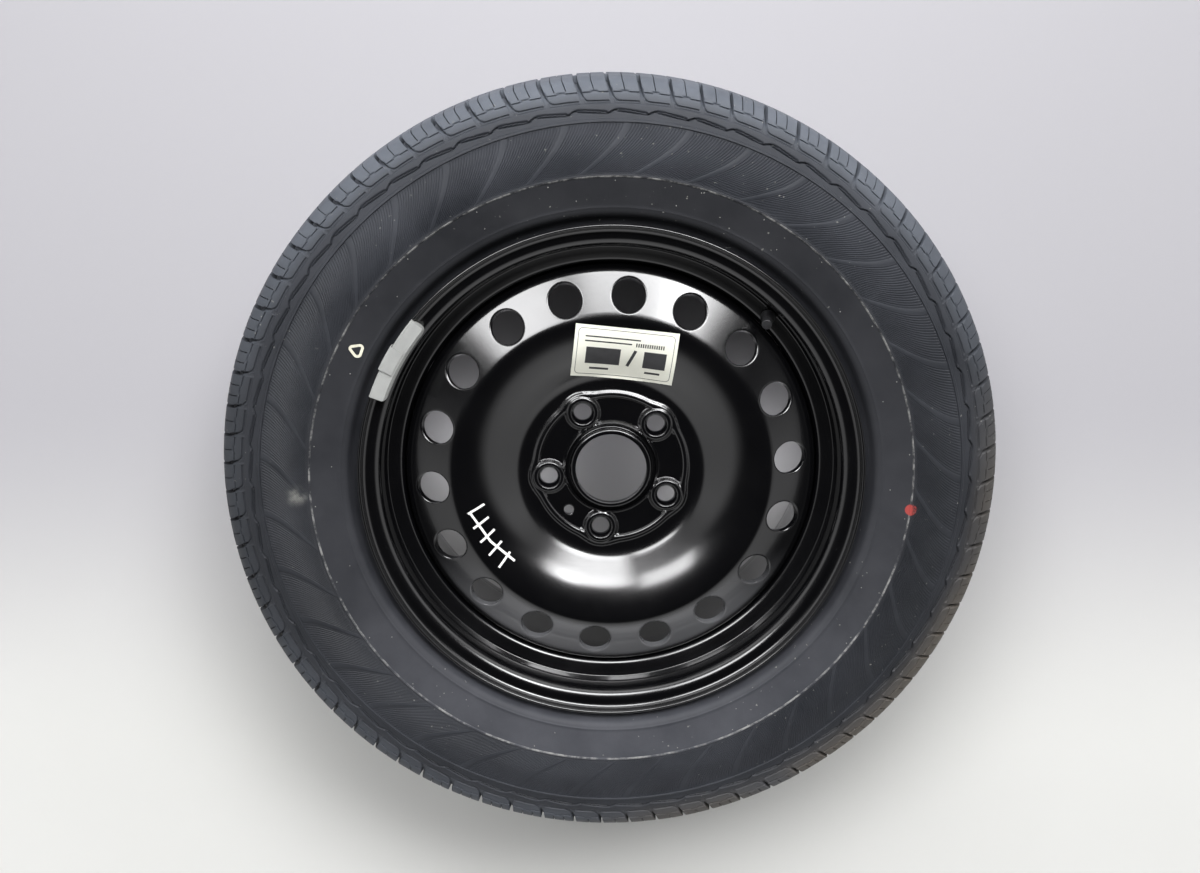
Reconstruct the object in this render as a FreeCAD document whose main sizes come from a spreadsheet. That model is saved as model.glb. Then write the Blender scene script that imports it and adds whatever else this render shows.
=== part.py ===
import FreeCAD, Part
import math
import os
import Sketcher

# A spare car wheel that lies on its inboard side: millimetres, the spin axis is Z, the outboard face
# looks along +Z and the origin is the centre of the wheel.

DOC = FreeCAD.newDocument("spare_wheel")
SHEET = DOC.addObject("Spreadsheet::Sheet", "sizes")

SIZES = [
    # rim
    ("rim_width", 203.2),
    ("bead_seat_diameter", 462.0),
    ("bead_seat_taper", 5.0),
    ("flange_height", 17.5),
    ("flange_curl", 9.5),
    ("flange_lip", 12.6),
    ("heel_bend", 6.5),
    ("rim_sheet", 3.4),
    ("well_diameter", 422.0),
    ("well_from_flange", 35.6),
    ("well_width", 48.0),
    ("well_slope_length", 16.0),
    ("wall_tilt", 15.0),
    ("wall_reach", 15.0),
    ("hump_height", 1.3),
    ("hump_from_flange", 25.0),
    ("ledge_diameter", 446.0),
    ("ledge_to_hump", 12.6),
    # disc
    ("disc_sheet", 5.5),
    ("wheel_offset", 56.4),
    ("centre_bore", 71.5),
    ("collar_height", 8.0),
    ("collar_bend", 1.5),
    ("collar_round", 3.2),
    ("plateau_height", 2.0),
    ("plateau_radius", 78.0),
    ("lobe_radius", 19.5),
    ("bowl_foot_radius", 92.5),
    ("bowl_foot_bend", 18.0),
    ("bowl_edge_radius", 130.7),
    ("bowl_edge_drop", 3.7),
    ("bowl_edge_bend", 84.0),
    ("crest_radius", 157.0),
    ("crest_height", 31.4),
    ("crest_bend", 12.0),
    ("vent_slope", 24.0),
    ("disc_corner_bend", 14.0),
    ("disc_flange_end", 33.0),
    ("fit_gap", 0.3),
    ("vent_circle", 357.1),
    ("vent_diameter", 32.5),
    ("vent_count", 18),
    ("vent_start", 84.95),
    ("bolt_circle", 127.0),
    ("bolt_hole", 17.5),
    ("bolt_count", 5),
    ("bolt_start", 116.86),
    ("boss_radius", 15.5),
    ("boss_height", 2.2),
    ("seat_mouth", 23.5),
    ("seat_angle", 60.0),
    ("relief_radius", 13.0),
    ("relief_depth", 2.0),
    ("pocket_inner", 46.5),
    ("pocket_outer", 73.0),
    ("pocket_span", 36.0),
    ("locating_hole", 10.0),
    ("locating_radius", 62.5),
    ("locating_angle", -133.0),
    # weld
    ("weld_leg", 5.5),
    ("weld_count", 8),
    ("weld_span", 26.0),
    # tyre
    ("tyre_diameter", 775.7),
    ("tyre_bulge", 127.3),
    ("bulge_below_middle", 5.425),
    ("bulge_roundness", 1.5556),
    ("crown_bend", 700.0),
    ("shoulder_drop", 10.7),
    ("shoulder_half_width", 105.0),
    ("shoulder_bend", 22.0),
    ("buttress_drop", 37.85),
    ("buttress_half_width", 115.5),
    ("protector_above_flange", 10.5),
    ("protector_half_width", 115.0),
    ("bead_gap", 0.25),
    ("bead_width", 17.5),
    ("cushion_clearance", 3.7),
    ("belt_thickness", 15.5),
    ("wall_thickness", 10.0),
    ("groove_depth", 7.5),
    ("groove_width", 9.0),
    ("groove_inner_offset", 20.0),
    ("groove_outer_offset", 58.0),
    ("slot_count", 75),
    ("slot_width", 3.6),
    ("slot_start", 74.0),
    # valve
    ("valve_radius", 218.2),
    ("valve_angle", 45.5),
    ("valve_hole", 11.5),
    ("stem_base_radius", 8.0),
    ("stem_base_depth", 7.0),
    ("stem_shoulder_radius", 7.4),
    ("stem_seat_radius", 6.2),
    ("stem_shoulder_height", 2.8),
    ("stem_seat_bevel", 1.4),
    ("stem_tip_radius", 4.7),
    ("stem_height", 12.6),
    ("tube_radius", 2.9),
    ("tube_bore", 1.7),
    ("thread_radius", 3.85),
    ("tube_height", 22.0),
    ("chamber_radius", 2.6),
    ("bond_gap", 0.05),
    ("core_depth", 11.0),
    ("core_pin_radius", 0.55),
    ("spring_wire", 0.18),
    ("spring_radius", 1.2),
    ("spring_pitch", 0.62),
    ("cap_radius", 5.0),
    ("cap_wall", 0.9),
    ("cap_length", 11.6),
    ("cap_top", 1.8),
    ("cap_seal_thickness", 0.9),
    ("cap_flute_count", 18),
    ("cap_flute_radius", 0.5),
    # balance weight
    ("weight_start", 140.2),
    ("weight_span", 19.8),
    ("weight_reach", 16.9),
    ("weight_front", 4.8),
    ("weight_end_bend", 5.0),
    ("weight_gap", 0.4),
    ("clip_start", 147.6),
    ("clip_span", 5.8),
    ("clip_sheet", 1.0),
    ("clip_overlap", 13.0),
    # label
    ("label_width", 101.0),
    ("label_depth", 56.0),
    ("label_across", 12.0),
    ("label_up", 119.0),
    ("label_turn", -5.8),
    ("label_sheet", 0.25),
    ("label_glue", 0.1),
]

for row, (alias, value) in enumerate(SIZES, start=1):
    SHEET.set("A%d" % row, alias)
    SHEET.set("B%d" % row, str(value))
    SHEET.setAlias("B%d" % row, alias)
DOC.recompute()

NODES = {}


def number(expression):
    """The value of an expression of the sheet."""
    return float(SHEET.evalExpression(expression))


def sized(text):
    """Puts the sheet's name before each size that is written as @name."""
    return text.replace("@", "sizes.")


def keep(name, thing):
    """Names a finished sub-part."""
    thing.Label = name
    NODES[name] = thing


def vector(x, y):
    return FreeCAD.Vector(x, y, 0)


def outline(sketch, corners, closed=True):
    """Draws straight stretches between corners, each corner rounded where it has a bend.

    A corner is (radius, height) or (radius, height, bend), as expressions of the sheet.
    """
    corners = [tuple(sized(str(part)) for part in corner) for corner in corners]
    points = [vector(number(corner[0]), number(corner[1])) for corner in corners]
    total = len(points)
    entry = {}
    leave = {}
    bends = {}
    for index, corner in enumerate(corners):
        entry[index] = points[index]
        leave[index] = points[index]
        inner = closed or 0 < index < total - 1
        if len(corner) < 3 or not inner:
            continue
        before = (points[index - 1] - points[index]).normalize()
        after = (points[(index + 1) % total] - points[index]).normalize()
        half = before.getAngle(after) / 2
        bend = number(corner[2])
        entry[index] = points[index] + before * (bend / math.tan(half))
        leave[index] = points[index] + after * (bend / math.tan(half))
        middle = (before + after).normalize()
        bends[index] = (points[index] + middle * (bend / math.sin(half)), bend)
    first = sketch.GeometryCount
    geometry = []
    lines = {}
    arcs = {}
    marks = {}
    for index in range(total if closed else total - 1):
        lines[index] = first + len(geometry)
        geometry.append(Part.LineSegment(leave[index], entry[(index + 1) % total]))
    for index, (centre, bend) in bends.items():
        begin = entry[index] - centre
        end = leave[index] - centre
        forward = begin.cross(end).z > 0
        low = begin if forward else end
        high = end if forward else begin
        low_angle = math.atan2(low.y, low.x)
        high_angle = math.atan2(high.y, high.x)
        if high_angle < low_angle:
            high_angle += 2 * math.pi
        circle = Part.Circle(centre, FreeCAD.Vector(0, 0, 1), bend)
        arcs[index] = (first + len(geometry), forward)
        geometry.append(Part.ArcOfCircle(circle, low_angle, high_angle))
    sketch.addGeometry(geometry, False)
    start = sketch.GeometryCount
    sketch.addGeometry([Part.Point(point) for point in points], True)
    for index in range(total):
        marks[index] = start + index
    rules = []
    bound = []
    for index, corner in enumerate(corners):
        mark = marks[index]
        bound.append((len(rules), corner[0]))
        rules.append(Sketcher.Constraint("DistanceX", -1, 1, mark, 1, points[index].x))
        bound.append((len(rules), corner[1]))
        rules.append(Sketcher.Constraint("DistanceY", -1, 1, mark, 1, points[index].y))
        previous = lines.get((index - 1) % total if closed else index - 1)
        following = lines.get(index)
        if index in arcs:
            arc, forward = arcs[index]
            rules.append(Sketcher.Constraint("PointOnObject", mark, 1, previous))
            rules.append(Sketcher.Constraint("PointOnObject", mark, 1, following))
            rules.append(Sketcher.Constraint("Tangent", previous, 2, arc, 1 if forward else 2))
            rules.append(Sketcher.Constraint("Tangent", following, 1, arc, 2 if forward else 1))
            bound.append((len(rules), corner[2]))
            rules.append(Sketcher.Constraint("Radius", arc, bends[index][1]))
            continue
        if previous is not None:
            rules.append(Sketcher.Constraint("Coincident", previous, 2, mark, 1))
        if following is not None:
            rules.append(Sketcher.Constraint("Coincident", following, 1, mark, 1))
    offset = sketch.ConstraintCount
    sketch.addConstraint(rules)
    for place, expression in bound:
        name = "size_%d" % (offset + place)
        sketch.renameConstraint(offset + place, name)
        sketch.setExpression("Constraints." + name, expression)


def upright(name):
    """A free sketch in the plane of the spin axis: its x is the radius, its y the height."""
    sketch = DOC.addObject("Sketcher::SketchObject", name)
    turn = FreeCAD.Rotation(FreeCAD.Vector(1, 0, 0), 90)
    sketch.Placement = FreeCAD.Placement(FreeCAD.Vector(), turn)
    return sketch


def origin_part(body, role):
    return next(item for item in body.Origin.OriginFeatures if item.Role == role)


def body_sketch(body, name, plane="XZ_Plane", lift=None):
    """A sketch on one of the body's own planes, raised by an expression if one is given."""
    sketch = body.newObject("Sketcher::SketchObject", name)
    sketch.AttachmentSupport = [(origin_part(body, plane), "")]
    sketch.MapMode = "FlatFace"
    if lift is not None:
        sketch.setExpression("AttachmentOffset.Base.z", sized(lift))
    DOC.recompute()
    return sketch


def spun_body(name, corners, angle=None):
    """A body turned round the spin axis from one outline."""
    body = DOC.addObject("PartDesign::Body", name)
    sketch = body_sketch(body, name + "_section")
    outline(sketch, corners)
    spin = body.newObject("PartDesign::Revolution", name + "_spin")
    spin.Profile = sketch
    spin.ReferenceAxis = (sketch, ["V_Axis"])
    if angle is None:
        spin.Angle = 360
    else:
        spin.setExpression("Angle", sized(angle))
    DOC.recompute()
    return body


def spun_sheet(name, corners, thickness, angle=None):
    """Sheet metal: an open outline, thickened to one side and turned round the spin axis."""
    sketch = upright(name + "_line")
    outline(sketch, corners, closed=False)
    DOC.recompute()
    face = thick(name + "_face", sketch, thickness)
    return spun(name + "_turned", face, angle)


def thick(name, source, thickness):
    face = DOC.addObject("Part::Offset2D", name)
    face.Source = source
    face.Mode = "Skin"
    face.Join = "Intersection"
    face.Fill = True
    face.setExpression("Value", sized(thickness))
    return face


def spun(name, source, angle=None):
    solid = DOC.addObject("Part::Revolution", name)
    solid.Source = source
    solid.Axis = FreeCAD.Vector(0, 0, 1)
    solid.Base = FreeCAD.Vector(0, 0, 0)
    solid.Solid = True
    if angle is None:
        solid.Angle = 360
    else:
        solid.setExpression("Angle", sized(angle))
    DOC.recompute()
    return solid


def place(thing, radius="0", angle="0", height="0", yaw="0", pitch="0"):
    """Sets a thing at a radius, an angle and a height, tilted by pitch and then turned by yaw."""
    base = "create(<<vector>>; (%s) * cos(%s); (%s) * sin(%s); %s)" % (radius, angle, radius, angle, height)
    turn = "create(<<rotation>>; %s; %s; 0)" % (yaw, pitch)
    thing.setExpression("Placement", sized("create(<<placement>>; %s; %s)" % (base, turn)))


def cylinder(name, radius, height):
    thing = DOC.addObject("Part::Cylinder", name)
    thing.setExpression("Radius", sized(radius))
    thing.setExpression("Height", sized(height))
    return thing


def cone(name, low, high, height):
    thing = DOC.addObject("Part::Cone", name)
    thing.setExpression("Radius1", sized(low))
    thing.setExpression("Radius2", sized(high))
    thing.setExpression("Height", sized(height))
    return thing


def joined(name, things):
    fuse = DOC.addObject("Part::MultiFuse", name)
    fuse.Shapes = things
    return fuse


def without(name, base, tools):
    """The base with every tool cut away."""
    group = DOC.addObject("Part::Compound", name + "_tools")
    group.Links = tools
    cut = DOC.addObject("Part::Cut", name)
    cut.Base = base
    cut.Tool = group
    DOC.recompute()
    return cut


# Rim: the tyre side of the sheet from the outboard lip to the inboard lip.
HALF = "@rim_width / 2"
SEAT = "@bead_seat_diameter / 2"
FLANGE = "@bead_seat_diameter / 2 + @flange_height"
WELL = "@well_diameter / 2"
WALL_TOP_R = "@well_diameter / 2 + @wall_reach"
WELL_TOP = "@rim_width / 2 - @well_from_flange"
WELL_FOOT = "@rim_width / 2 - @well_from_flange - @well_width"
WALL_TOP_Z = WELL_TOP + " + @wall_reach * tan(@wall_tilt)"
HUMP_Z = "@rim_width / 2 - @hump_from_flange"
HUMP_R = "@bead_seat_diameter / 2 - @hump_from_flange * tan(@bead_seat_taper) + @hump_height + 0.9"
SEAT_END_Z = "@rim_width / 2 - @hump_from_flange + 6.5"
SEAT_END_R = "@bead_seat_diameter / 2 - (@hump_from_flange - 6.5) * tan(@bead_seat_taper)"
RIM_LINE = [
    (FLANGE, HALF + " + @flange_lip"),
    (FLANGE, HALF, "@flange_curl"),
    (SEAT, HALF, "@heel_bend"),
    (SEAT_END_R, SEAT_END_Z, "10"),
    (HUMP_R, HUMP_Z, "5"),
    (WALL_TOP_R, WALL_TOP_Z, "5"),
    (WELL, WELL_TOP, "4"),
    (WELL, WELL_FOOT, "12"),
    ("@ledge_diameter / 2", WELL_FOOT + " - @well_slope_length", "14"),
    ("@ledge_diameter / 2", "@ledge_to_hump - (%s)" % HUMP_Z, "8"),
    (HUMP_R, "-(%s)" % HUMP_Z, "5"),
    (SEAT_END_R, "-(%s)" % SEAT_END_Z, "10"),
    (SEAT, "-(%s)" % HALF, "@heel_bend"),
    (FLANGE, "-(%s)" % HALF, "@flange_curl"),
    (FLANGE, "-(%s) - @flange_lip" % HALF),
]
rim_turned = spun_sheet("rim", RIM_LINE, "-@rim_sheet")

# The valve stands square on the outboard wall of the well.
VALVE_Z = (WELL_TOP + " + (@valve_radius - @well_diameter / 2) * tan(@wall_tilt)"
           " + @rim_sheet / cos(@wall_tilt)")


def on_valve(thing):
    """Moves a thing drawn upright to the valve's seat on the rim."""
    place(thing, "@valve_radius", "@valve_angle", VALVE_Z, "@valve_angle", "-@wall_tilt")


valve_drill = cylinder("valve_drill", "@valve_hole / 2", "@rim_sheet * 6")
place(valve_drill, "@valve_radius + @rim_sheet * 3 * sin(@wall_tilt)", "@valve_angle",
      VALVE_Z + " - @rim_sheet * 3 * cos(@wall_tilt)", "@valve_angle", "-@wall_tilt")
keep("rim", without("rim_cut", rim_turned, [valve_drill]))

# Disc: the front of the sheet from the bore collar out to the flange in the well.
FACE = "@wheel_offset + @disc_sheet"
COLLAR = "@centre_bore / 2 + @disc_sheet"
CREST = FACE + " + @crest_height"
RING = "@well_diameter / 2 - @rim_sheet - @fit_gap"
RING_Z = CREST + " - (%s - @crest_radius) * tan(@vent_slope)" % RING
DISC_LINE = [
    (COLLAR, FACE + " + @collar_height"),
    (COLLAR, FACE, "@collar_bend"),
    ("@bowl_foot_radius", FACE, "@bowl_foot_bend"),
    ("@bowl_edge_radius", CREST + " - @bowl_edge_drop", "@bowl_edge_bend"),
    ("@crest_radius", CREST, "@crest_bend"),
    (RING, RING_Z, "@disc_corner_bend"),
    (RING, "@disc_flange_end"),
]
disc_turned = spun_sheet("disc", DISC_LINE, "-@disc_sheet")
disc_line = DOC.getObject("disc_line")

added = []
removed = []
TOP = FACE + " + @plateau_height"
plateau_outer = cone("plateau", "@plateau_radius + @plateau_height / 2", "@plateau_radius", "@plateau_height + 1")
place(plateau_outer, height=FACE + " - 1")
plateau_hole = cylinder("plateau_hole", COLLAR + " + 0.5", "@plateau_height * 4")
place(plateau_hole, height=FACE + " - @plateau_height * 2")
lobes = [plateau_outer]
for step in range(int(number("sizes.bolt_count"))):
    angle = "@bolt_start + %d * 360 / @bolt_count" % step
    lobe = cone("lobe_%d" % step, "@lobe_radius + @plateau_height / 2", "@lobe_radius", "@plateau_height + 1")
    place(lobe, "@bolt_circle / 2", angle, FACE + " - 1")
    lobes.append(lobe)
    boss = cone("boss_%d" % step, "@boss_radius + @boss_height / 2", "@boss_radius", "@boss_height + 1")
    place(boss, "@bolt_circle / 2", angle, TOP + " - 1")
    added.append(boss)
    drill = cylinder("bolt_drill_%d" % step, "@bolt_hole / 2", "@disc_sheet * 6")
    place(drill, "@bolt_circle / 2", angle, "@wheel_offset - @disc_sheet")
    SEAT_DEPTH = "(@seat_mouth - @bolt_hole) / 2 / tan(@seat_angle / 2)"
    seat = cone("nut_seat_%d" % step, "@bolt_hole / 2", "@seat_mouth / 2 + 1 * tan(@seat_angle / 2)",
                SEAT_DEPTH + " + 1")
    place(seat, "@bolt_circle / 2", angle, TOP + " + @boss_height - " + SEAT_DEPTH)
    relief = cone("relief_%d" % step, "@relief_radius + 1", "@relief_radius - @relief_depth", "@relief_depth + 1")
    place(relief, "@bolt_circle / 2", angle, "@wheel_offset - 1")
    removed += [drill, seat, relief]
plateau = without("plateau_ring", joined("plateau_lobes", lobes), [plateau_hole])
pockets = []
for step in range(int(number("sizes.bolt_count"))):
    angle = "@bolt_start + (%d + 0.5) * 360 / @bolt_count - @pocket_span / 2" % step
    sector = cylinder("pocket_%d" % step, "@pocket_outer", "@plateau_height * 3")
    sector.setExpression("Angle", sized("@pocket_span"))
    place(sector, height=FACE, yaw=angle)
    core = cylinder("pocket_core_%d" % step, "@pocket_inner", "@plateau_height * 5")
    place(core, height=FACE + " - @plateau_height")
    pockets.append(without("pocket_ring_%d" % step, sector, [core]))
plateau = without("plateau_pockets", plateau, pockets)
for step in range(int(number("sizes.vent_count"))):
    angle = "@vent_start + %d * 360 / @vent_count" % step
    vent = cylinder("vent_%d" % step, "@vent_diameter / 2", "@disc_sheet * 5")
    place(vent, "@vent_circle / 2", angle,
          CREST + " - (@vent_circle / 2 - @crest_radius) * tan(@vent_slope) - @disc_sheet * 3")
    removed.append(vent)
locating = cylinder("locating_drill", "@locating_hole / 2", "@disc_sheet * 4")
place(locating, "@locating_radius", "@locating_angle", "@wheel_offset - @disc_sheet")
removed.append(locating)
disc_solid = joined("disc_solid", [disc_turned, plateau] + added)
disc_cut = without("disc_cut", disc_solid, removed)
collar_top = number(sized(FACE + " + @collar_height"))
collar_edges = []
for index, edge in enumerate(disc_cut.Shape.Edges, start=1):
    box = edge.BoundBox
    if abs(box.ZMin - collar_top) < 0.001 and abs(box.XMax - number(sized(COLLAR))) < 0.001:
        collar_edges.append((index, number("sizes.collar_round"), number("sizes.collar_round")))
disc_rounded = DOC.addObject("Part::Fillet", "disc_rounded")
disc_rounded.Base = disc_cut
disc_rounded.Edges = collar_edges
keep("disc", disc_rounded)

# Weld beads where the end of the disc's flange meets the well.
beads = []
WELD_R = RING + " + @fit_gap / 2"
WELD_Z = "@disc_flange_end - @fit_gap / 2"
for step in range(int(number("sizes.weld_count"))):
    bead = spun_body("weld_%d" % step, [
        (WELD_R, WELD_Z),
        (WELD_R, WELD_Z + " - @weld_leg"),
        (WELD_R + " - @weld_leg * 0.8", WELD_Z),
    ], "@weld_span")
    place(bead, yaw="%d * 360 / @weld_count" % step)
    beads.append(bead)
welds = DOC.addObject("Part::Compound", "welds")
welds.Links = beads
keep("weld_beads", welds)

# Tyre: one outline round the crown, both sidewalls, both beads and the liner.
BEAD_R = "@bead_seat_diameter / 2 + @bead_gap"
BEAD_Z = "@rim_width / 2 - @bead_gap"
TOE_Z = "@rim_width / 2 - @bead_gap - @bead_width"
TOE_R = "@bead_seat_diameter / 2 + @bead_gap - @bead_width * tan(@bead_seat_taper)"
CUSHION = FLANGE + " + @cushion_clearance"
CROWN = "@tyre_diameter / 2"
CROWN_TIP = CROWN + " + @crown_bend * (1 / cos(atan(@shoulder_drop / @shoulder_half_width)) - 1)"
LINER = "@tyre_diameter / 2 - @belt_thickness"
BUTTRESS = "@tyre_diameter / 2 - @buttress_drop"
BULGE = "(@tyre_diameter + @bead_seat_diameter) / 4 - @bulge_below_middle"
PROTECTOR = FLANGE + " + @protector_above_flange"
BULGE_BEND = "((%s) - (%s)) * @bulge_roundness" % (BULGE, PROTECTOR)
SIDE = [
    (CROWN_TIP + " - @shoulder_drop", "@shoulder_half_width", "@shoulder_bend"),
    (BUTTRESS, "@buttress_half_width", "40"),
    (BULGE, "@tyre_bulge", BULGE_BEND),
    (PROTECTOR, "@protector_half_width", "9"),
    (CUSHION, BEAD_Z, "@flange_curl - 0.5"),
    (BEAD_R, BEAD_Z, "@heel_bend + @bead_gap"),
    (TOE_R, TOE_Z, "1.5"),
    (PROTECTOR + " - 12", "@protector_half_width - 34", "20"),
    (BULGE + " - 12", "@tyre_bulge - @wall_thickness - 1.5", "40"),
    (BUTTRESS + " - 6", "@buttress_half_width - @wall_thickness", "35"),
    (LINER, "@shoulder_half_width - 18", "18"),
]
OTHER_SIDE = [(corner[0], "-(%s)" % corner[1]) + corner[2:] for corner in reversed(SIDE)]
tyre = spun_body("tyre_body", [(CROWN_TIP, "0", "@crown_bend")] + SIDE + OTHER_SIDE)

tread = body_sketch(tyre, "tread_grooves")
for sign in ("", "-"):
    for offset in ("@groove_inner_offset", "@groove_outer_offset"):
        middle = "%s(%s)" % (sign, offset)
        outline(tread, [
            (CROWN + " + 5", middle + " - @groove_width * 0.6"),
            (CROWN + " + 5", middle + " + @groove_width * 0.6"),
            (CROWN + " - @groove_depth", middle + " + @groove_width * 0.38"),
            (CROWN + " - @groove_depth", middle + " - @groove_width * 0.38"),
        ])
groove = tyre.newObject("PartDesign::Groove", "tread_groove")
groove.Profile = tread
groove.ReferenceAxis = (tread, ["V_Axis"])
groove.Angle = 360
DOC.recompute()

slots = body_sketch(tyre, "shoulder_slots")
for sign in ("", "-"):
    outline(slots, [
        (CROWN + " + 8", "%s(@slot_start)" % sign),
        (CROWN + " - @groove_depth", "%s(@slot_start + 1)" % sign),
        (CROWN + " - @groove_depth - @shoulder_drop * 0.6", "%s(@shoulder_half_width - 9)" % sign),
        (BUTTRESS + " + 11", "%s(@buttress_half_width - 5.6)" % sign),
        (BUTTRESS + " + 11", "%s(@buttress_half_width + 8)" % sign),
        (CROWN + " + 8", "%s(@buttress_half_width + 8)" % sign),
    ])
slot = tyre.newObject("PartDesign::Pocket", "shoulder_slot")
slot.Profile = slots
slot.Midplane = True
slot.setExpression("Length", sized("@slot_width"))
DOC.recompute()
ring = tyre.newObject("PartDesign::PolarPattern", "shoulder_slot_ring")
ring.Originals = [slot]
ring.Axis = (origin_part(tyre, "Z_Axis"), [""])
ring.Angle = 360
ring.setExpression("Occurrences", sized("@slot_count"))
tyre.Tip = ring
DOC.recompute()
keep("tyre", tyre)

# Valve: drawn upright from the outer face of the wall, then moved to its seat.
STEM_BORE = "@tube_radius + @bond_gap"
valve_stem = spun_body("valve_stem_body", [
    (STEM_BORE, "-@rim_sheet - @stem_base_depth"),
    ("@stem_base_radius - 1.8", "-@rim_sheet - @stem_base_depth", "1"),
    ("@stem_base_radius", "-@rim_sheet - @stem_base_depth / 2", "1"),
    ("@stem_base_radius", "-@rim_sheet - @fit_gap - @stem_seat_bevel"),
    ("@stem_seat_radius", "-@rim_sheet - @fit_gap"),
    ("@valve_hole / 2 - @fit_gap", "-@rim_sheet - @fit_gap"),
    ("@valve_hole / 2 - @fit_gap", "@fit_gap"),
    ("@stem_seat_radius", "@fit_gap"),
    ("@stem_shoulder_radius", "@fit_gap + @stem_seat_bevel"),
    ("@stem_shoulder_radius", "@stem_shoulder_height", "0.8"),
    ("@stem_tip_radius + 0.4", "@stem_height * 0.72", "4"),
    ("@stem_tip_radius", "@stem_height", "0.6"),
    (STEM_BORE, "@stem_height"),
])
on_valve(valve_stem)
keep("valve_stem", valve_stem)

valve_tube = spun_body("valve_tube_body", [
    ("@tube_bore", "-@rim_sheet - @stem_base_depth - 0.5"),
    ("@tube_radius", "-@rim_sheet - @stem_base_depth - 0.5"),
    ("@tube_radius", "@stem_height + 0.3"),
    ("@thread_radius", "@stem_height + 0.7"),
    ("@thread_radius", "@tube_height - 0.4"),
    ("@thread_radius - 0.4", "@tube_height"),
    ("@chamber_radius", "@tube_height"),
    ("@chamber_radius", "@core_depth - 0.4"),
    ("@tube_bore", "@core_depth - 1.4"),
])
on_valve(valve_tube)
keep("valve_tube", valve_tube)

PLUG = "@chamber_radius - 0.25"
core_body = spun_body("valve_core_shape", [
    ("@core_pin_radius + 0.35", "@core_depth"),
    (PLUG + " - 0.45", "@core_depth"),
    (PLUG + " - 0.45", "@tube_height - 4.8"),
    (PLUG, "@tube_height - 4.4"),
    (PLUG, "@tube_height - 1"),
    (PLUG + " - 0.75", "@tube_height - 1"),
    (PLUG + " - 0.75", "@tube_height - 4.8"),
    ("@core_pin_radius + 0.35", "@tube_height - 5.2"),
])
on_valve(core_body)
keep("valve_core_body", core_body)

core_gasket = spun_body("valve_core_gasket_shape", [
    (PLUG + " - 0.4", "@core_depth + 1.2"),
    ("@chamber_radius - 0.12", "@core_depth + 1.8"),
    ("@chamber_radius - 0.12", "@core_depth + 3.6"),
    (PLUG + " - 0.4", "@core_depth + 4.2"),
])
on_valve(core_gasket)
keep("valve_core_gasket", core_gasket)

core_pin = spun_body("valve_core_pin_shape", [
    ("0", "@core_depth - 3.5"),
    ("@core_pin_radius", "@core_depth - 3.5"),
    ("@core_pin_radius", "@tube_height - 1.4"),
    ("@spring_radius + 0.1", "@tube_height - 1.4"),
    ("@spring_radius + 0.1", "@tube_height - 0.6"),
    ("@core_pin_radius", "@tube_height - 0.3"),
    ("0", "@tube_height - 0.3"),
])
on_valve(core_pin)
keep("valve_core_pin", core_pin)

core_seal = spun_body("valve_core_seal_shape", [
    ("@core_pin_radius + @bond_gap", "@core_depth - 2"),
    ("@tube_bore - 0.25", "@core_depth - 1.6"),
    ("@tube_bore - 0.25", "@core_depth - 0.3"),
    ("@core_pin_radius + @bond_gap", "@core_depth - 0.3"),
])
on_valve(core_seal)
keep("valve_core_seal", core_seal)

# The spring rests on the floor of the plug and carries the head of the pin.
helix = DOC.addObject("Part::Helix", "spring_path")
helix.setExpression("Pitch", sized("@spring_pitch"))
helix.setExpression("Height", sized("3.4 - @spring_wire * 2 - 0.15"))
helix.setExpression("Radius", sized("@spring_radius"))
ring_wire = DOC.addObject("Part::Circle", "spring_wire_section")
ring_wire.setExpression("Radius", sized("@spring_wire"))
ring_wire.setExpression("Placement.Base.x", sized("@spring_radius"))
ring_wire.Placement.Rotation = FreeCAD.Rotation(FreeCAD.Vector(1, 0, 0), 90)
coil = DOC.addObject("Part::Sweep", "spring_coil")
coil.Sections = [ring_wire]
coil.Spine = (helix, [])
coil.Solid = True
coil.Frenet = True
lifted = DOC.addObject("Part::Compound", "spring_lifted")
lifted.Links = [coil]
SPRING_FOOT = "(@tube_height - 4.8 + @spring_wire + 0.05)"
place(lifted, "@valve_radius - %s * sin(@wall_tilt)" % SPRING_FOOT, "@valve_angle",
      VALVE_Z + " + %s * cos(@wall_tilt)" % SPRING_FOOT, "@valve_angle", "-@wall_tilt")
keep("valve_core_spring", lifted)

CAP_FOOT = "@tube_height + @fit_gap + @cap_seal_thickness + 0.2 + @cap_top - @cap_length"
CAP_END = "@tube_height + @fit_gap + @cap_seal_thickness + 0.2 + @cap_top"
valve_cap = spun_body("valve_cap_body", [
    ("@cap_radius - @cap_wall", CAP_FOOT),
    ("@cap_radius", CAP_FOOT),
    ("@cap_radius", CAP_END, "1.2"),
    ("0", CAP_END),
    ("0", CAP_END + " - @cap_top"),
    ("@cap_radius - @cap_wall", CAP_END + " - @cap_top"),
])
flutes = body_sketch(valve_cap, "cap_flutes", "XY_Plane", CAP_FOOT + " + 1.2")
flutes.addGeometry(Part.Circle(vector(5.2, 0), FreeCAD.Vector(0, 0, 1), 0.5), False)
flutes.addConstraint([
    Sketcher.Constraint("DistanceX", -1, 1, 0, 3, 5.2),
    Sketcher.Constraint("PointOnObject", 0, 3, -1),
    Sketcher.Constraint("Radius", 0, 0.5),
])
flutes.renameConstraint(0, "flute_radius")
flutes.renameConstraint(2, "flute_size")
flutes.setExpression("Constraints.flute_radius", sized("@cap_radius + @cap_flute_radius * 0.4"))
flutes.setExpression("Constraints.flute_size", sized("@cap_flute_radius"))
flute = valve_cap.newObject("PartDesign::Pocket", "cap_flute")
flute.Profile = flutes
flute.Reversed = True
flute.setExpression("Length", sized("@cap_length - 4"))
DOC.recompute()
flute_ring = valve_cap.newObject("PartDesign::PolarPattern", "cap_flute_ring")
flute_ring.Originals = [flute]
flute_ring.Axis = (origin_part(valve_cap, "Z_Axis"), [""])
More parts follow.
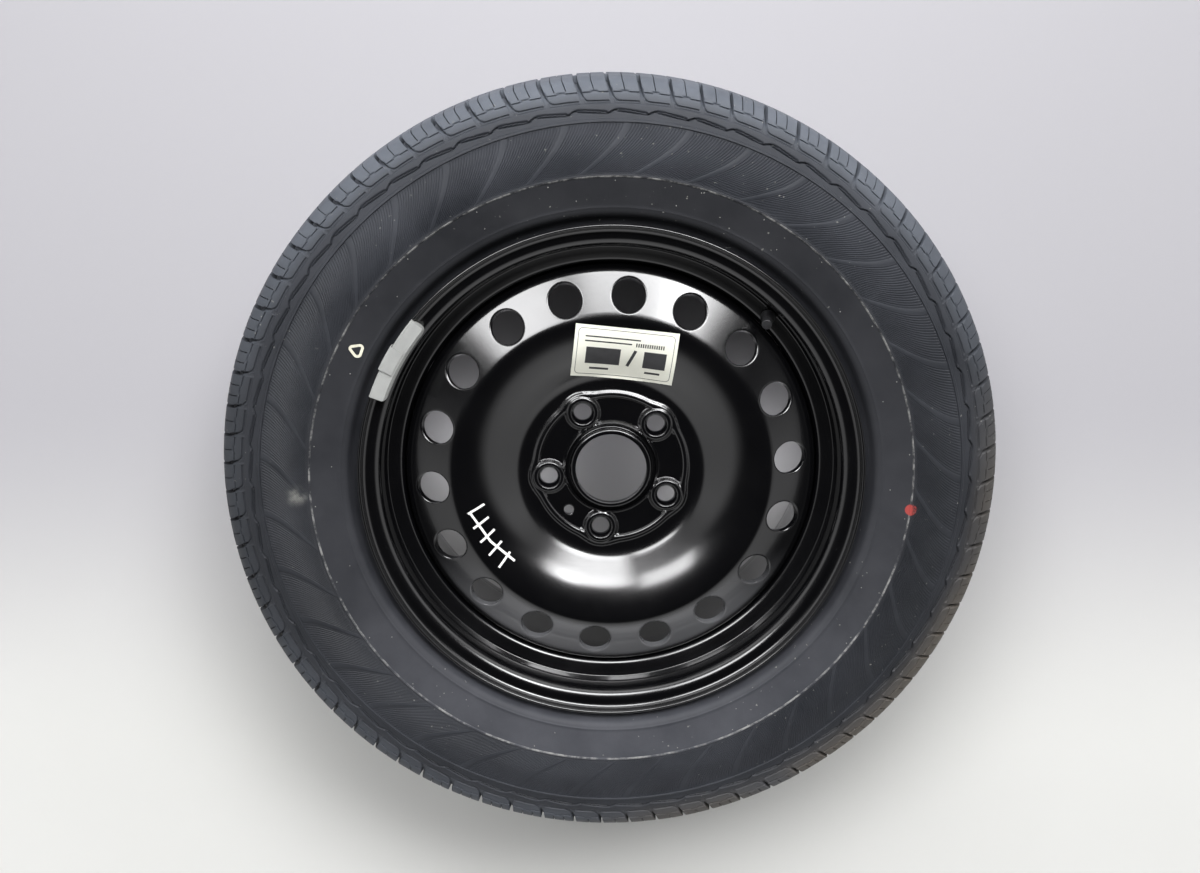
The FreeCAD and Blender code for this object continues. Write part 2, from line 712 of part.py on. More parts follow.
flute_ring.Angle = 360
flute_ring.setExpression("Occurrences", sized("@cap_flute_count"))
valve_cap.Tip = flute_ring
on_valve(valve_cap)
keep("valve_cap", valve_cap)

cap_seal = spun_body("valve_cap_seal_shape", [
    ("0", "@tube_height + @fit_gap"),
    ("@cap_radius - @cap_wall - 0.15", "@tube_height + @fit_gap"),
    ("@cap_radius - @cap_wall - 0.15", "@tube_height + @fit_gap + @cap_seal_thickness"),
    ("0", "@tube_height + @fit_gap + @cap_seal_thickness"),
])
on_valve(cap_seal)
keep("valve_cap_seal", cap_seal)

# Balance weight: fills the hollow of the outboard lip and hangs on it by its clip.
LIP_Z = HALF + " + @flange_lip"
UNDER_R = FLANGE + " - @rim_sheet - @weight_gap"
BACK_Z = HALF + " + @rim_sheet + @weight_gap"
FRONT_Z = LIP_Z + " + @weight_front"
WEIGHT_IN = FLANGE + " - @weight_reach"
weight = spun_body("balance_weight_body", [
    (WEIGHT_IN, BACK_Z),
    (UNDER_R, BACK_Z, "@flange_curl - @rim_sheet + @weight_gap"),
    (UNDER_R, LIP_Z + " + @weight_gap"),
    (FLANGE + " - 0.3", LIP_Z + " + @weight_gap"),
    (FLANGE + " - 0.3", FRONT_Z + " - 1.2"),
    (FLANGE + " - 1.5", FRONT_Z),
    (WEIGHT_IN + " + 2.5", FRONT_Z),
    (WEIGHT_IN, FRONT_Z + " - 3"),
], "@weight_span")
ends = []
inner_radius = number(sized(WEIGHT_IN))
for index, edge in enumerate(weight.Shape.Edges, start=1):
    first = edge.Vertexes[0].Point
    last = edge.Vertexes[-1].Point
    straight = abs(first.x - last.x) + abs(first.y - last.y) < 0.001
    if straight and abs(math.hypot(first.x, first.y) - inner_radius) < 0.01:
        ends.append("Edge%d" % index)
rounding = weight.newObject("PartDesign::Fillet", "weight_end_bends")
rounding.Base = (weight.getObject("balance_weight_body_spin"), ends)
rounding.setExpression("Radius", sized("@weight_end_bend"))
weight.Tip = rounding
place(weight, yaw="@weight_start")
DOC.recompute()
keep("balance_weight", weight)

CLIP_R = FLANGE + " + @weight_gap"
CLIP_Z = FRONT_Z + " + 0.2"
clip = spun_sheet("clip", [
    (CLIP_R + " - @clip_overlap", CLIP_Z),
    (CLIP_R, CLIP_Z, "1"),
    (CLIP_R, HALF + " + @flange_curl - 2.4", "1.5"),
    (CLIP_R + " - 0.8", HALF + " + @flange_curl - 4.6"),
], "@clip_sheet", "@clip_span")
place(clip, yaw="@clip_start")
keep("balance_weight_clip", clip)

# Label: a thin skin on the bowl, cut to a rectangle.
glue = DOC.addObject("Part::Offset2D", "label_glue_line")
glue.Source = disc_line
glue.Mode = "Skin"
glue.Join = "Intersection"
glue.setExpression("Value", sized("@label_glue"))
skin = spun("label_skin", thick("label_face", glue, "@label_sheet"))
frame = DOC.addObject("Part::Box", "label_frame")
frame.setExpression("Length", sized("@label_width"))
frame.setExpression("Width", sized("@label_depth"))
frame.setExpression("Height", sized("@crest_height + 40"))
ACROSS = "@label_width / 2"
ALONG = "@label_depth / 2"
CORNER_X = "@label_across - (%s) * cos(@label_turn) + (%s) * sin(@label_turn)" % (ACROSS, ALONG)
CORNER_Y = "@label_up - (%s) * sin(@label_turn) - (%s) * cos(@label_turn)" % (ACROSS, ALONG)
frame.setExpression("Placement", sized(
    "create(<<placement>>; create(<<vector>>; %s; %s; %s); create(<<rotation>>; @label_turn; 0; 0))"
    % (CORNER_X, CORNER_Y, FACE + " - 10")))
sticker = DOC.addObject("Part::Common", "label_cut")
sticker.Base = skin
sticker.Tool = frame
keep("label", sticker)

DOC.recompute()
for thing in DOC.Objects:
    if "Invalid" in thing.State or "Error" in thing.State:
        raise RuntimeError("not recomputed: " + thing.Name)
os.makedirs("parts", exist_ok=True)
for name, thing in NODES.items():
    if thing.Shape.isNull() or not thing.Shape.isValid():
        raise RuntimeError("no good solid: " + name)
for name, thing in NODES.items():
    thing.Shape.exportStep("parts/%s.step" % name)
    print(name, len(thing.Shape.Solids), round(thing.Shape.Volume, 2))
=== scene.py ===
import math
import bpy
import numpy as np
from mathutils import Matrix, Vector, geometry


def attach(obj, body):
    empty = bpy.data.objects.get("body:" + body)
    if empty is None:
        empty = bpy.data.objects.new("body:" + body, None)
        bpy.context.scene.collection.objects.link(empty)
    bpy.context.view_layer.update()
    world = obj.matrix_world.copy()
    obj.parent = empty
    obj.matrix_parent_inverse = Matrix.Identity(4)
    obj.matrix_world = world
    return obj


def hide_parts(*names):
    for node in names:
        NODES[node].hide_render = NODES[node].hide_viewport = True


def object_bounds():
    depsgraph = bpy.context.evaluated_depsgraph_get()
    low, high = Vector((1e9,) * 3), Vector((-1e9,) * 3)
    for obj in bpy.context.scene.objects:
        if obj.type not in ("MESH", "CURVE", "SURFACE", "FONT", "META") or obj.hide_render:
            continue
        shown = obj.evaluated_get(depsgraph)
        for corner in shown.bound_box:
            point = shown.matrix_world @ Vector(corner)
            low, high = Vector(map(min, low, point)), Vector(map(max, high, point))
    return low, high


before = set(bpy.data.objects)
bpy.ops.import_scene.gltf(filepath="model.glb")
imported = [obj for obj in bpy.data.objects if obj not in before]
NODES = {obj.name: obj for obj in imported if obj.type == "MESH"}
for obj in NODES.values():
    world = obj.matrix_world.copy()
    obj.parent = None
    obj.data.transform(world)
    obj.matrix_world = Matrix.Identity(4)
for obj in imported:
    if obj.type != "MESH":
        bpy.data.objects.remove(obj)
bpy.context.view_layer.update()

MM = 0.001
TAU = 2 * math.pi
SCENE = bpy.context.scene


# Shapes: helpers

def rounded(corners, step=0.1):
    """Points along an open outline of (radius, height[, bend]) corners, in millimetres."""
    points = [np.array(corners[0][:2], float)]
    for before, corner, after in zip(corners, corners[1:], corners[2:]):
        here = np.array(corner[:2], float)
        bend = corner[2] if len(corner) > 2 else 0.0
        if not bend:
            points.append(here)
            continue
        back = np.array(before[:2], float) - here
        back /= np.linalg.norm(back)
        ahead = np.array(after[:2], float) - here
        ahead /= np.linalg.norm(ahead)
        half = math.acos(max(-1.0, min(1.0, float(back @ ahead)))) / 2
        centre = here + (back + ahead) / np.linalg.norm(back + ahead) * bend / math.sin(half)
        begin = here + back * bend / math.tan(half) - centre
        end = here + ahead * bend / math.tan(half) - centre
        start = math.atan2(begin[1], begin[0])
        turn = math.atan2(begin[0] * end[1] - begin[1] * end[0], float(begin @ end))
        count = max(3, int(abs(turn) / step) + 2)
        for share in np.linspace(0, 1, count):
            angle = start + turn * share
            points.append(centre + bend * np.array([math.cos(angle), math.sin(angle)]))
    points.append(np.array(corners[-1][:2], float))
    return np.array(points)


def spaced(points, longest):
    """The outline with extra points wherever a stretch is longer than the given length."""
    result = [points[0]]
    for a, b in zip(points, points[1:]):
        count = max(1, int(math.ceil(np.linalg.norm(b - a) / longest)))
        for share in np.linspace(0, 1, count + 1)[1:]:
            result.append(a + (b - a) * share)
    return np.array(result)


def lengths(points):
    """Length along an outline up to each of its points."""
    return np.concatenate([[0.0], np.cumsum(np.linalg.norm(np.diff(points, axis=0), axis=1))])


def sides(points):
    """Unit normals to the left of an outline."""
    ahead = np.gradient(points, axis=0)
    ahead /= np.linalg.norm(ahead, axis=1)[:, None]
    return np.stack([-ahead[:, 1], ahead[:, 0]], axis=1)


def smooth(low, high, value):
    """Nothing up to the low value, one from the high value on, and a soft step between them."""
    share = np.clip((value - low) / (high - low), 0.0, 1.0)
    return share * share * (3 - 2 * share)


def turns(count):
    """Angles of so many columns evenly round the axis."""
    return np.arange(count) * TAU / count


def in_plan(radius, degrees):
    """A point in plan."""
    return radius * np.array([math.cos(math.radians(degrees)), math.sin(math.radians(degrees))])


def from_point(plan, point):
    """Distances in plan from one point."""
    return np.hypot(plan[:, 0] - point[0], plan[:, 1] - point[1])


def from_nearest(plan, points):
    """Distances in plan from the nearest of several points."""
    return np.min([from_point(plan, point) for point in points], axis=0)


def polar(radius, angle, height):
    return np.stack([radius * np.cos(angle), radius * np.sin(angle), height], axis=-1)


def grid_faces(rows, columns, closed=True, flip=False):
    """Quads of a grid of rows by columns, joined round where it is closed."""
    across = np.arange(columns if closed else columns - 1)
    following = (across + 1) % columns
    quads = []
    for row in range(rows - 1):
        low = row * columns
        high = low + columns
        quads.append(np.stack([low + across, low + following, high + following, high + across], axis=1))
    quads = np.concatenate(quads)
    return quads[:, ::-1] if flip else quads


def spin(points, columns, flip=False):
    """Vertices and quads of an outline turned once round the axis."""
    radius, around = np.meshgrid(points[:, 0], turns(columns), indexing="ij")
    height = np.repeat(points[:, 1][:, None], columns, axis=1)
    return polar(radius, around, height).reshape(-1, 3), grid_faces(len(points), columns, True, flip)


def double_area(plan, faces):
    """Twice the area of each face's first triangle in plan, below nothing where it is turned over."""
    a, b, c = (plan[faces[:, corner]] for corner in range(3))
    return (b[:, 0] - a[:, 0]) * (c[:, 1] - a[:, 1]) - (b[:, 1] - a[:, 1]) * (c[:, 0] - a[:, 0])


def open_edges(faces):
    """The edges that only one face has."""
    edges = {}
    for face in faces.tolist():
        edges.update(dict.fromkeys(zip(face, face[1:] + face[:1])))
    return [(i, j) for i, j in edges if (j, i) not in edges]


def closed_sheet(front, back, faces, edges):
    """A closed sheet of a front, a back and a wall along each edge."""
    count = len(front)
    walls = [[j, i, i + count, j + count] for i, j in edges]
    return np.concatenate([front, back]), faces.tolist() + (faces[:, ::-1] + count).tolist() + walls


def listed(faces):
    return faces.tolist() if isinstance(faces, np.ndarray) else faces


def merged(parts):
    """Several (vertices, faces) in one."""
    verts = []
    faces = []
    base = 0
    for points, quads in parts:
        verts.append(np.asarray(points, float))
        faces += [[index + base for index in face] for face in listed(quads)]
        base += len(points)
    return np.concatenate(verts), faces


def piece(name, verts, faces, material, body="wheel", sharp=35.0, slot=None):
    """A mesh of the object, from vertices in millimetres, that rides on a body."""
    mesh = bpy.data.meshes.new(name)
    mesh.from_pydata((np.asarray(verts, float) * MM).tolist(), [], listed(faces))
    mesh.validate()
    mesh.update()
    mesh.shade_smooth()
    mesh.set_sharp_from_angle(angle=math.radians(sharp))
    mesh.materials.append(material)
    thing = bpy.data.objects.new(name, mesh)
    SCENE.collection.objects.link(thing)
    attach(thing, body)
    return thing


# Materials: helpers

def material(name, **values):
    """A principled material with plain numbers on its own sockets."""
    made = bpy.data.materials.new(name)
    made.use_nodes = True
    shader = made.node_tree.nodes["Principled BSDF"]
    for key, value in values.items():
        shader.inputs[key.replace("_", " ").title().replace("Ior", "IOR")].default_value = value
    return made, made.node_tree, shader


def ramp(tree, source, stops):
    """A colour, or a grey of one number, that follows a value through (position, colour) stops."""
    made = tree.nodes.new("ShaderNodeValToRGB")
    tree.links.new(source, made.inputs["Fac"])
    elements = made.color_ramp.elements
    while len(elements) < len(stops):
        elements.new(0.5)
    for element, (position, colour) in zip(elements, stops):
        element.position = position
        element.color = (*colour, 1.0) if isinstance(colour, tuple) else (colour, colour, colour, 1.0)
    return made.outputs["Color"]


def noise(tree, scale, detail=4.0, roughness=0.55):
    """Cloudy values over the object, with so many clouds to a metre."""
    made = tree.nodes.new("ShaderNodeTexNoise")
    made.inputs["Scale"].default_value = scale
    made.inputs["Detail"].default_value = detail
    made.inputs["Roughness"].default_value = roughness
    tree.links.new(tree.nodes.new("ShaderNodeTexCoord").outputs["Object"], made.inputs["Vector"])
    return made.outputs["Fac"]


def bump(tree, shader, height, strength, distance):
    made = tree.nodes.new("ShaderNodeBump")
    made.inputs["Strength"].default_value = strength
    made.inputs["Distance"].default_value = distance
    tree.links.new(height, made.inputs["Height"])
    tree.links.new(made.outputs["Normal"], shader.inputs["Normal"])


def math_node(tree, operation, *values):
    made = tree.nodes.new("ShaderNodeMath")
    made.operation = operation
    for socket, value in zip(made.inputs, values):
        if isinstance(value, (int, float)):
            socket.default_value = value
        else:
            tree.links.new(value, socket)
    return made.outputs[0]


def plus(tree, a, b):
    return math_node(tree, "ADD", a, b)


def minus(tree, a, b):
    return math_node(tree, "SUBTRACT", a, b)


def times(tree, first, *others):
    for other in others:
        first = math_node(tree, "MULTIPLY", first, other)
    return first


def square_of(tree, value):
    return times(tree, value, value)


def rest_of(tree, share):
    """What a share leaves of the whole."""
    return minus(tree, 1.0, share)


def between(tree, value, low, high):
    """Nothing up to the low value, one from the high value on, and a soft step between them."""
    made = tree.nodes.new("ShaderNodeMapRange")
    made.interpolation_type = "SMOOTHSTEP"
    made.inputs["From Min"].default_value = low
    made.inputs["From Max"].default_value = high
    tree.links.new(value, made.inputs["Value"])
    return made.outputs["Result"]


def near(tree, value, middle, half):
    """One at the middle and nothing half a width away."""
    distance = math_node(tree, "ABSOLUTE", minus(tree, value, middle))
    return rest_of(tree, between(tree, distance, half * 0.5, half))


def mixed(tree, share, a, b):
    """A colour that goes from one to another with a share."""
    made = tree.nodes.new("ShaderNodeMix")
    made.data_type = "RGBA"
    tree.links.new(share, made.inputs["Factor"])
    for socket, value in ((made.inputs[6], a), (made.inputs[7], b)):
        if isinstance(value, tuple):
            socket.default_value = (*value, 1.0)
        else:
            tree.links.new(value, socket)
    return made.outputs[2]


def place_sockets(tree, output="Object"):
    """The three sockets of a place on the object, in metres, or of a direction in the world."""
    split = tree.nodes.new("ShaderNodeSeparateXYZ")
    tree.links.new(tree.nodes.new("ShaderNodeTexCoord").outputs[output], split.inputs[0])
    return split.outputs


def distance_in_plan(tree, place, point=(0.0, 0.0)):
    """Distance from a point of the wheel's plan, or from its axis, in metres."""
    squares = [square_of(tree, minus(tree, place[axis], point[axis])) for axis in (0, 1)]
    return math_node(tree, "SQRT", plus(tree, *squares))


# Rubber: the radii where its looks change and the marks on it, in metres.
RIDGES_FROM = (0.292, 0.298)
TREAD_FROM = (0.352, 0.372)
SOIL_FROM = (0.345, 0.38)
SOIL_CORNER = (0.2, 0.55)
WORN_LINE = 0.2926
WORN_HALF = 0.0011
WHEEL_EDGES = (-0.39, 0.39)
OUTBOARD_FROM = (0.0, 0.01)
SCUFF = (-0.3055, -0.0125)
SCUFF_EDGE = (0.002, 0.014)
RED_DOT = (0.2922, -0.0269)
RED_DOT_EDGE = (0.005, 0.0062)

# Rubber: its darker and paler clouds, and the colours of what lies on it.
WALL_CLOUDS = [(0.3, (0.032, 0.034, 0.041)), (0.75, (0.062, 0.064, 0.074))]
RIDGE_CLOUDS = [(0.3, (0.017, 0.019, 0.024)), (0.75, (0.036, 0.039, 0.047))]
TREAD_CLOUDS = [(0.25, (0.055, 0.062, 0.075)), (0.8, (0.102, 0.113, 0.133))]
SOIL_BROWN = (0.082, 0.07, 0.056)
WORN_GREY = (0.2, 0.2, 0.195)
FLECK_GREY = (0.16, 0.16, 0.15)
SCUFF_GREY = (0.15, 0.15, 0.14)
DOT_RED = (0.3, 0.045, 0.04)

# Painted light and shade on the rubber, as shares of its colour, at the wheel's lower edge, below and above
# its middle, and at its upper edge: the tread paler high up as if lit from above, and a painted sheen low on
# the wall.
PAINTED_LIGHT_PLACES = (0.0, 0.28, 0.65, 1.0)
WALL_PAINTED_LIGHT = (1.0, 0.55, 0.44, 0.34)
RIDGE_PAINTED_LIGHT = (0.88, 0.6, 0.69, 0.97)
TREAD_PAINTED_LIGHT = (0.74, 0.34, 0.34, 1.0)


def painted_light_by_height(tree, upright, colour, shares):
    """A colour that is darker or paler from the wheel's lower edge to its upper one: painted light and
    shade, as light from above would fall on it.
    """
    share = ramp(tree, upright, list(zip(PAINTED_LIGHT_PLACES, shares)))
    return mixed(tree, share, (0.0, 0.0, 0.0), colour)


def rubber_material():
    """Tyre rubber: dark and slightly blue, dusty on the tread and brown low on one side of it, with painted
    light and shade that changes with height on the wheel.
    """
    made, tree, shader = material("tyre_rubber", roughness=0.6, specular_ior_level=0.35)
    place = place_sockets(tree)
    radius = distance_in_plan(tree, place)
    upright = between(tree, place[1], *WHEEL_EDGES)
    outboard = between(tree, place[2], *OUTBOARD_FROM)
    cloud = noise(tree, 14.0, 6.0, 0.65)
    wide = noise(tree, 5.0, 3.0, 0.5)
    grit = noise(tree, 90.0, 4.0, 0.7)
    specks = noise(tree, 260.0, 1.0, 0.5)
    tread = between(tree, radius, *TREAD_FROM)
    band = times(tree, between(tree, radius, *RIDGES_FROM), rest_of(tree, tread))
    # Painted light: the wall, ridge and tread colours are made paler or darker with height on the wheel, a
    # painted sheen low on the wall and painted light from above on the upper tread.
    wall = painted_light_by_height(tree, upright, ramp(tree, cloud, WALL_CLOUDS), WALL_PAINTED_LIGHT)
    ridges = painted_light_by_height(tree, upright, ramp(tree, cloud, RIDGE_CLOUDS), RIDGE_PAINTED_LIGHT)
    tread_dust_and_painted_light = painted_light_by_height(tree, upright, ramp(tree, cloud, TREAD_CLOUDS), TREAD_PAINTED_LIGHT)
    colour = mixed(tree, tread, mixed(tree, band, wall, ridges), tread_dust_and_painted_light)
    corner = between(tree, minus(tree, place[0], place[1]), *SOIL_CORNER)
    soil = times(tree, corner, between(tree, radius, *SOIL_FROM), between(tree, wide, 0.42, 0.62))
    worn = times(tree, near(tree, radius, WORN_LINE, WORN_HALF), between(tree, grit, 0.4, 0.66))
    flecks = times(tree, between(tree, specks, 0.74, 0.78), between(tree, wide, 0.48, 0.62))
    scuff = rest_of(tree, between(tree, distance_in_plan(tree, place, SCUFF), *SCUFF_EDGE))
    scuff = times(tree, scuff, outboard, between(tree, grit, 0.3, 0.7))
    dot = rest_of(tree, between(tree, distance_in_plan(tree, place, RED_DOT), *RED_DOT_EDGE))
    dot = times(tree, dot, outboard, between(tree, grit, 0.34, 0.5))
    colour = mixed(tree, soil, colour, SOIL_BROWN)
    colour = mixed(tree, worn, colour, WORN_GREY)
    colour = mixed(tree, flecks, colour, FLECK_GREY)
    colour = mixed(tree, scuff, colour, SCUFF_GREY)
    colour = mixed(tree, dot, colour, DOT_RED)
    tree.links.new(colour, shader.inputs["Base Color"])
    tree.links.new(ramp(tree, cloud, [(0.2, 0.5), (0.8, 0.72)]), shader.inputs["Roughness"])
    bump(tree, shader, noise(tree, 900.0, 3.0), 0.18, 0.0004)
    return made


# Paint: its colours, and a painted sheen, a painted reflection, on the lower vents between two radii, in
# metres.
PAINT_BLACK = (0.0012, 0.0012, 0.0016)
PAINT_SPECK = (0.09, 0.09, 0.088)
PAINTED_SHEEN_GREY = (0.09, 0.091, 0.096)
PAINTED_SHEEN_IN = (0.158, 0.166)
PAINTED_SHEEN_OUT = (0.195, 0.203)
PAINTED_SHEEN_FADE = (-0.165, -0.075)


def paint_material():
    """Gloss black dip paint with a faint orange peel, dusty specks and a painted sheen, standing in for a
    reflection, on the lower vents.
    """
    made, tree, shader = material("gloss_black_paint", ior=1.68, coat_weight=0.6, coat_roughness=0.07)
    cloud = noise(tree, 20.0, 5.0, 0.6)
    specks = ramp(tree, noise(tree, 520.0, 2.0, 0.7), [(0.72, 0.0), (0.78, 1.0)])
    colour = mixed(tree, times(tree, specks, between(tree, cloud, 0.5, 0.7)), PAINT_BLACK, PAINT_SPECK)
    place = place_sockets(tree)
    radius = distance_in_plan(tree, place)
    # Painted reflection: a paler grey on the lower vent ring, fading out towards the middle, stands in for
    # the room's reflection.
    painted_sheen = minus(tree, between(tree, radius, *PAINTED_SHEEN_IN), between(tree, radius, *PAINTED_SHEEN_OUT))
    painted_sheen = times(tree, painted_sheen, rest_of(tree, between(tree, place[1], *PAINTED_SHEEN_FADE)))
    tree.links.new(mixed(tree, painted_sheen, colour, PAINTED_SHEEN_GREY), shader.inputs["Base Color"])
    tree.links.new(ramp(tree, cloud, [(0.25, 0.17), (0.8, 0.25)]), shader.inputs["Roughness"])
    bump(tree, shader, noise(tree, 240.0, 2.0, 0.5), 0.04, 0.0006)
    return made


def plain_material(name, low, high, rough, scale=60.0, metallic=0.0, grain=0.1):
    """A surface whose colour and gloss vary a little, with a fine grain."""
    made, tree, shader = material(name, metallic=metallic)
    cloud = noise(tree, scale, 6.0, 0.6)
    tree.links.new(ramp(tree, cloud, [(0.3, low), (0.72, high)]), shader.inputs["Base Color"])
    tree.links.new(ramp(tree, cloud, [(0.3, rough[0]), (0.72, rough[1])]), shader.inputs["Roughness"])
    bump(tree, shader, noise(tree, scale * 22, 3.0), grain, 0.0003)
    return made


FLOOR_CLOUDS = [(0.3, (0.61, 0.61, 0.59)), (0.7, (0.63, 0.63, 0.61))]
FLOOR_BEYOND = (0.38, 0.374, 0.395)
FLOOR_FADE = (-0.42, 0.05)


def floor_material():
    """Pale studio paper, a shade greyer beyond the wheel."""
    made, tree, shader = material("floor_paper", roughness=0.75)
    beyond = between(tree, place_sockets(tree)[1], *FLOOR_FADE)
    paper = ramp(tree, noise(tree, 3.0, 3.0), FLOOR_CLOUDS)
    tree.links.new(mixed(tree, beyond, paper, FLOOR_BEYOND), shader.inputs["Base Color"])
    return made


RUBBER = rubber_material()
PAINT = paint_material()
STEM = plain_material("valve_rubber", (0.008, 0.008, 0.009), (0.018, 0.018, 0.02), (0.4, 0.6), 120.0)
CAP = plain_material("cap_plastic", (0.01, 0.01, 0.011), (0.022, 0.022, 0.024), (0.28, 0.42), 200.0)
BRASS = plain_material("brass", (0.5, 0.36, 0.14), (0.66, 0.5, 0.22), (0.25, 0.4), 200.0, metallic=1.0)
STEEL = plain_material("spring_steel", (0.42, 0.42, 0.43), (0.55, 0.55, 0.56), (0.25, 0.4), 200.0,
                       metallic=1.0)
GASKET = plain_material("core_gasket", (0.4, 0.05, 0.04), (0.5, 0.08, 0.06), (0.5, 0.6), 200.0)
ZINC = plain_material("weight_coat", (0.24, 0.245, 0.238), (0.315, 0.32, 0.31), (0.5, 0.68), 45.0,
                      grain=0.16)
PAPER = plain_material("label_paper", (0.86, 0.86, 0.75), (0.93, 0.93, 0.82), (0.42, 0.55), 40.0,
                       grain=0.05)
INK = plain_material("label_ink", (0.03, 0.03, 0.032), (0.05, 0.05, 0.052), (0.5, 0.6), 90.0)
WHITE = plain_material("marker_white", (0.7, 0.7, 0.68), (0.84, 0.84, 0.82), (0.5, 0.65), 80.0)
CREAM = plain_material("spot_cream", (0.55, 0.53, 0.42), (0.72, 0.7, 0.58), (0.6, 0.75), 150.0)
DUSTY = plain_material("dusty_rubber", (0.1, 0.1, 0.1), (0.22, 0.22, 0.21), (0.6, 0.8), 150.0)


# Rim: the sheet's tyre side, as in the solid, and its other side one thickness away.
RIM_SHEET = 3.4
RIM_COLUMNS = 288
FLANGE = 248.5
FLANGE_FACE = 101.6
FLANGE_LIP = 114.2
SEAT = 231.0
WELL = 211.0
BARREL = 223.0
RIM_BEAD = [(FLANGE, FLANGE_LIP), (FLANGE, FLANGE_FACE, 9.5), (SEAT, FLANGE_FACE, 6.5),
            (229.381, 83.1, 10), (231.013, 76.6, 5)]
RIM_WELL = [(226.0, 70.019, 5), (WELL, 66.0, 4), (WELL, 18.0, 12), (BARREL, 2.0, 14), (BARREL, -64.0, 8)]
RIM_LINE = RIM_BEAD + RIM_WELL + [(radius, -height, *bend) for radius, height, *bend in RIM_BEAD[::-1]]


def rim_section():
    """The closed section of the rim, with its two lip edges rolled round."""
    lip = RIM_SHEET / 2
    line = spaced(rounded(RIM_LINE, 0.17), 9.0)
    line[0, 1] -= lip
    line[-1, 1] += lip
    other = line - sides(line) * RIM_SHEET
    other[0] = (line[0, 0] - RIM_SHEET, line[0, 1])
    other[-1] = (line[-1, 0] - RIM_SHEET, line[-1, 1])
    arc = np.linspace(0, math.pi, 9)[1:-1]
    inboard = np.stack([line[-1, 0] - lip + lip * np.cos(arc), line[-1, 1] - lip * np.sin(arc)], axis=1)
    outboard = np.stack([line[0, 0] - lip + lip * np.cos(arc), line[0, 1] + lip * np.sin(arc)], axis=1)
    return np.concatenate([line, inboard, other[::-1], outboard[::-1], line[:1]])


rim = piece("rim_skin", *spin(rim_section(), RIM_COLUMNS), PAINT, sharp=50.0, slot="black_paint")
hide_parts("rim")


# Disc: pressed front with soft edges on a plain back, one sheet apart.
DISC_SHEET = 5.5
FACE = 61.9
COLLAR = 41.25
COLLAR_TOP = FACE + 8.0
COLLAR_BEND = 1.5
COLLAR_LIP = 3.0
BORE = COLLAR - DISC_SHEET
CREST = 93.3
CREST_RADIUS = 157.0
RING = 207.3
VENT_SLOPE = math.radians(24)
RING_CORNER = CREST - (RING - CREST_RADIUS) * math.tan(VENT_SLOPE)
DISC_LINE = [(COLLAR, COLLAR_TOP), (COLLAR, FACE, COLLAR_BEND), (92.5, FACE, 18), (130.7, CREST - 3.7, 84),
             (CREST_RADIUS, CREST, 12), (RING, RING_CORNER, 14), (RING, 33.0)]

# Disc: its holes, in plan.
BOLT_HOLE = 8.75
BOLT_CENTRES = [in_plan(63.5, 116.86 + 72 * step) for step in range(5)]
LOCATING_HOLE = 5.0
LOCATING = in_plan(62.5, -133)
VENT = 16.25
VENT_CIRCLE = 178.55
VENTS = [84.95 + 20 * step for step in range(18)]
VENT_CENTRES = [in_plan(VENT_CIRCLE, angle) for angle in VENTS]

# Disc: the pressing round the bolts. Its plateau has a lobe at each bolt and a pocket between two.
PLATEAU = 78.6
PLATEAU_RISE = 2.2
LOBE = 19.6
LOBE_BLEND = 7.0
POCKET_IN = 47.6
POCKET_OUT = 72.8
POCKET_DEPTH = 2.7
BOSS = 17.0
BOSS_RISE = 2.0
NUT_SEAT = 11.9
NUT_SEAT_SLOPE = math.radians(30)
BORE_BEAD = 46.5

# Disc: where points of the pressed field stand, closer together at the hub than on the bowl.
FIELD_IN = 46.0
FIELD_OUT = 197.0
HUB = 96.0
HUB_PITCH = 1.6
BOWL_PITCH = 3.0
BOWL_COLUMNS = 280
COLLAR_COLUMNS = 192
FLANGE_COLUMNS = 320
VENT_RINGS = (0.5, 1.1, 2.0)
BOLT_RINGS = (9.6, 10.6, 11.6, 12.3, 13.2, 14.2, 15.1, 16.0, 16.9, 17.8, 18.7, 19.6)
LOCATING_RINGS = (5.5, 6.2, 7.0)


def vent_loop(degrees, grow, count=64):
    """The edge of a vent in plan, grown outwards by so many millimetres."""
    angle = math.radians(degrees)
    out = (VENT + grow) * np.cos(turns(count)) + VENT_CIRCLE
    along = (VENT + grow) * np.sin(turns(count))
    x = out * math.cos(angle) - along * math.sin(angle)
    y = out * math.sin(angle) + along * math.cos(angle)
    return np.stack([x, y], axis=1)


def ring(centre, radius, count, turn=0.0):
    """Points round a circle in plan, turned by a share of their pitch."""
    around = (np.arange(count) + turn) * TAU / count
    return np.stack([centre[0] + radius * np.cos(around), centre[1] + radius * np.sin(around)], axis=1)


def disc_profile():
    """The turned front without its pressing, and its normals."""
    line = spaced(rounded(DISC_LINE, 0.05), 2.0)
    normal = sides(line)
    normal *= np.sign(normal[:, 1:2] + 1e-6)
    return line, normal


DISC_FRONT, DISC_NORMAL = disc_profile()
FLAT = (DISC_FRONT[:, 0] > 43.5) & (DISC_FRONT[:, 0] < 200.0) & (DISC_FRONT[:, 1] > 61.0)


def disc_at(radius):
    """Height of the turned front at a radius, and how far its normal leans out and rises."""
    line = DISC_FRONT[FLAT]
    normal = DISC_NORMAL[FLAT]
    return [np.interp(radius, line[:, 0], values) for values in (line[:, 1], normal[:, 0], normal[:, 1])]


def on_bowl(plan, lift):
    """Points over the turned front, lifted along its normal."""
    radius = from_point(plan, (0.0, 0.0))
    level, lean, rise = disc_at(radius)
    grown = (radius + lean * lift) / radius
    return np.stack([plan[:, 0] * grown, plan[:, 1] * grown, level + rise * lift], axis=1)


def from_vents(plan):
    """Distance in plan from the edge of the nearest vent."""
    return from_nearest(plan, VENT_CENTRES) - VENT


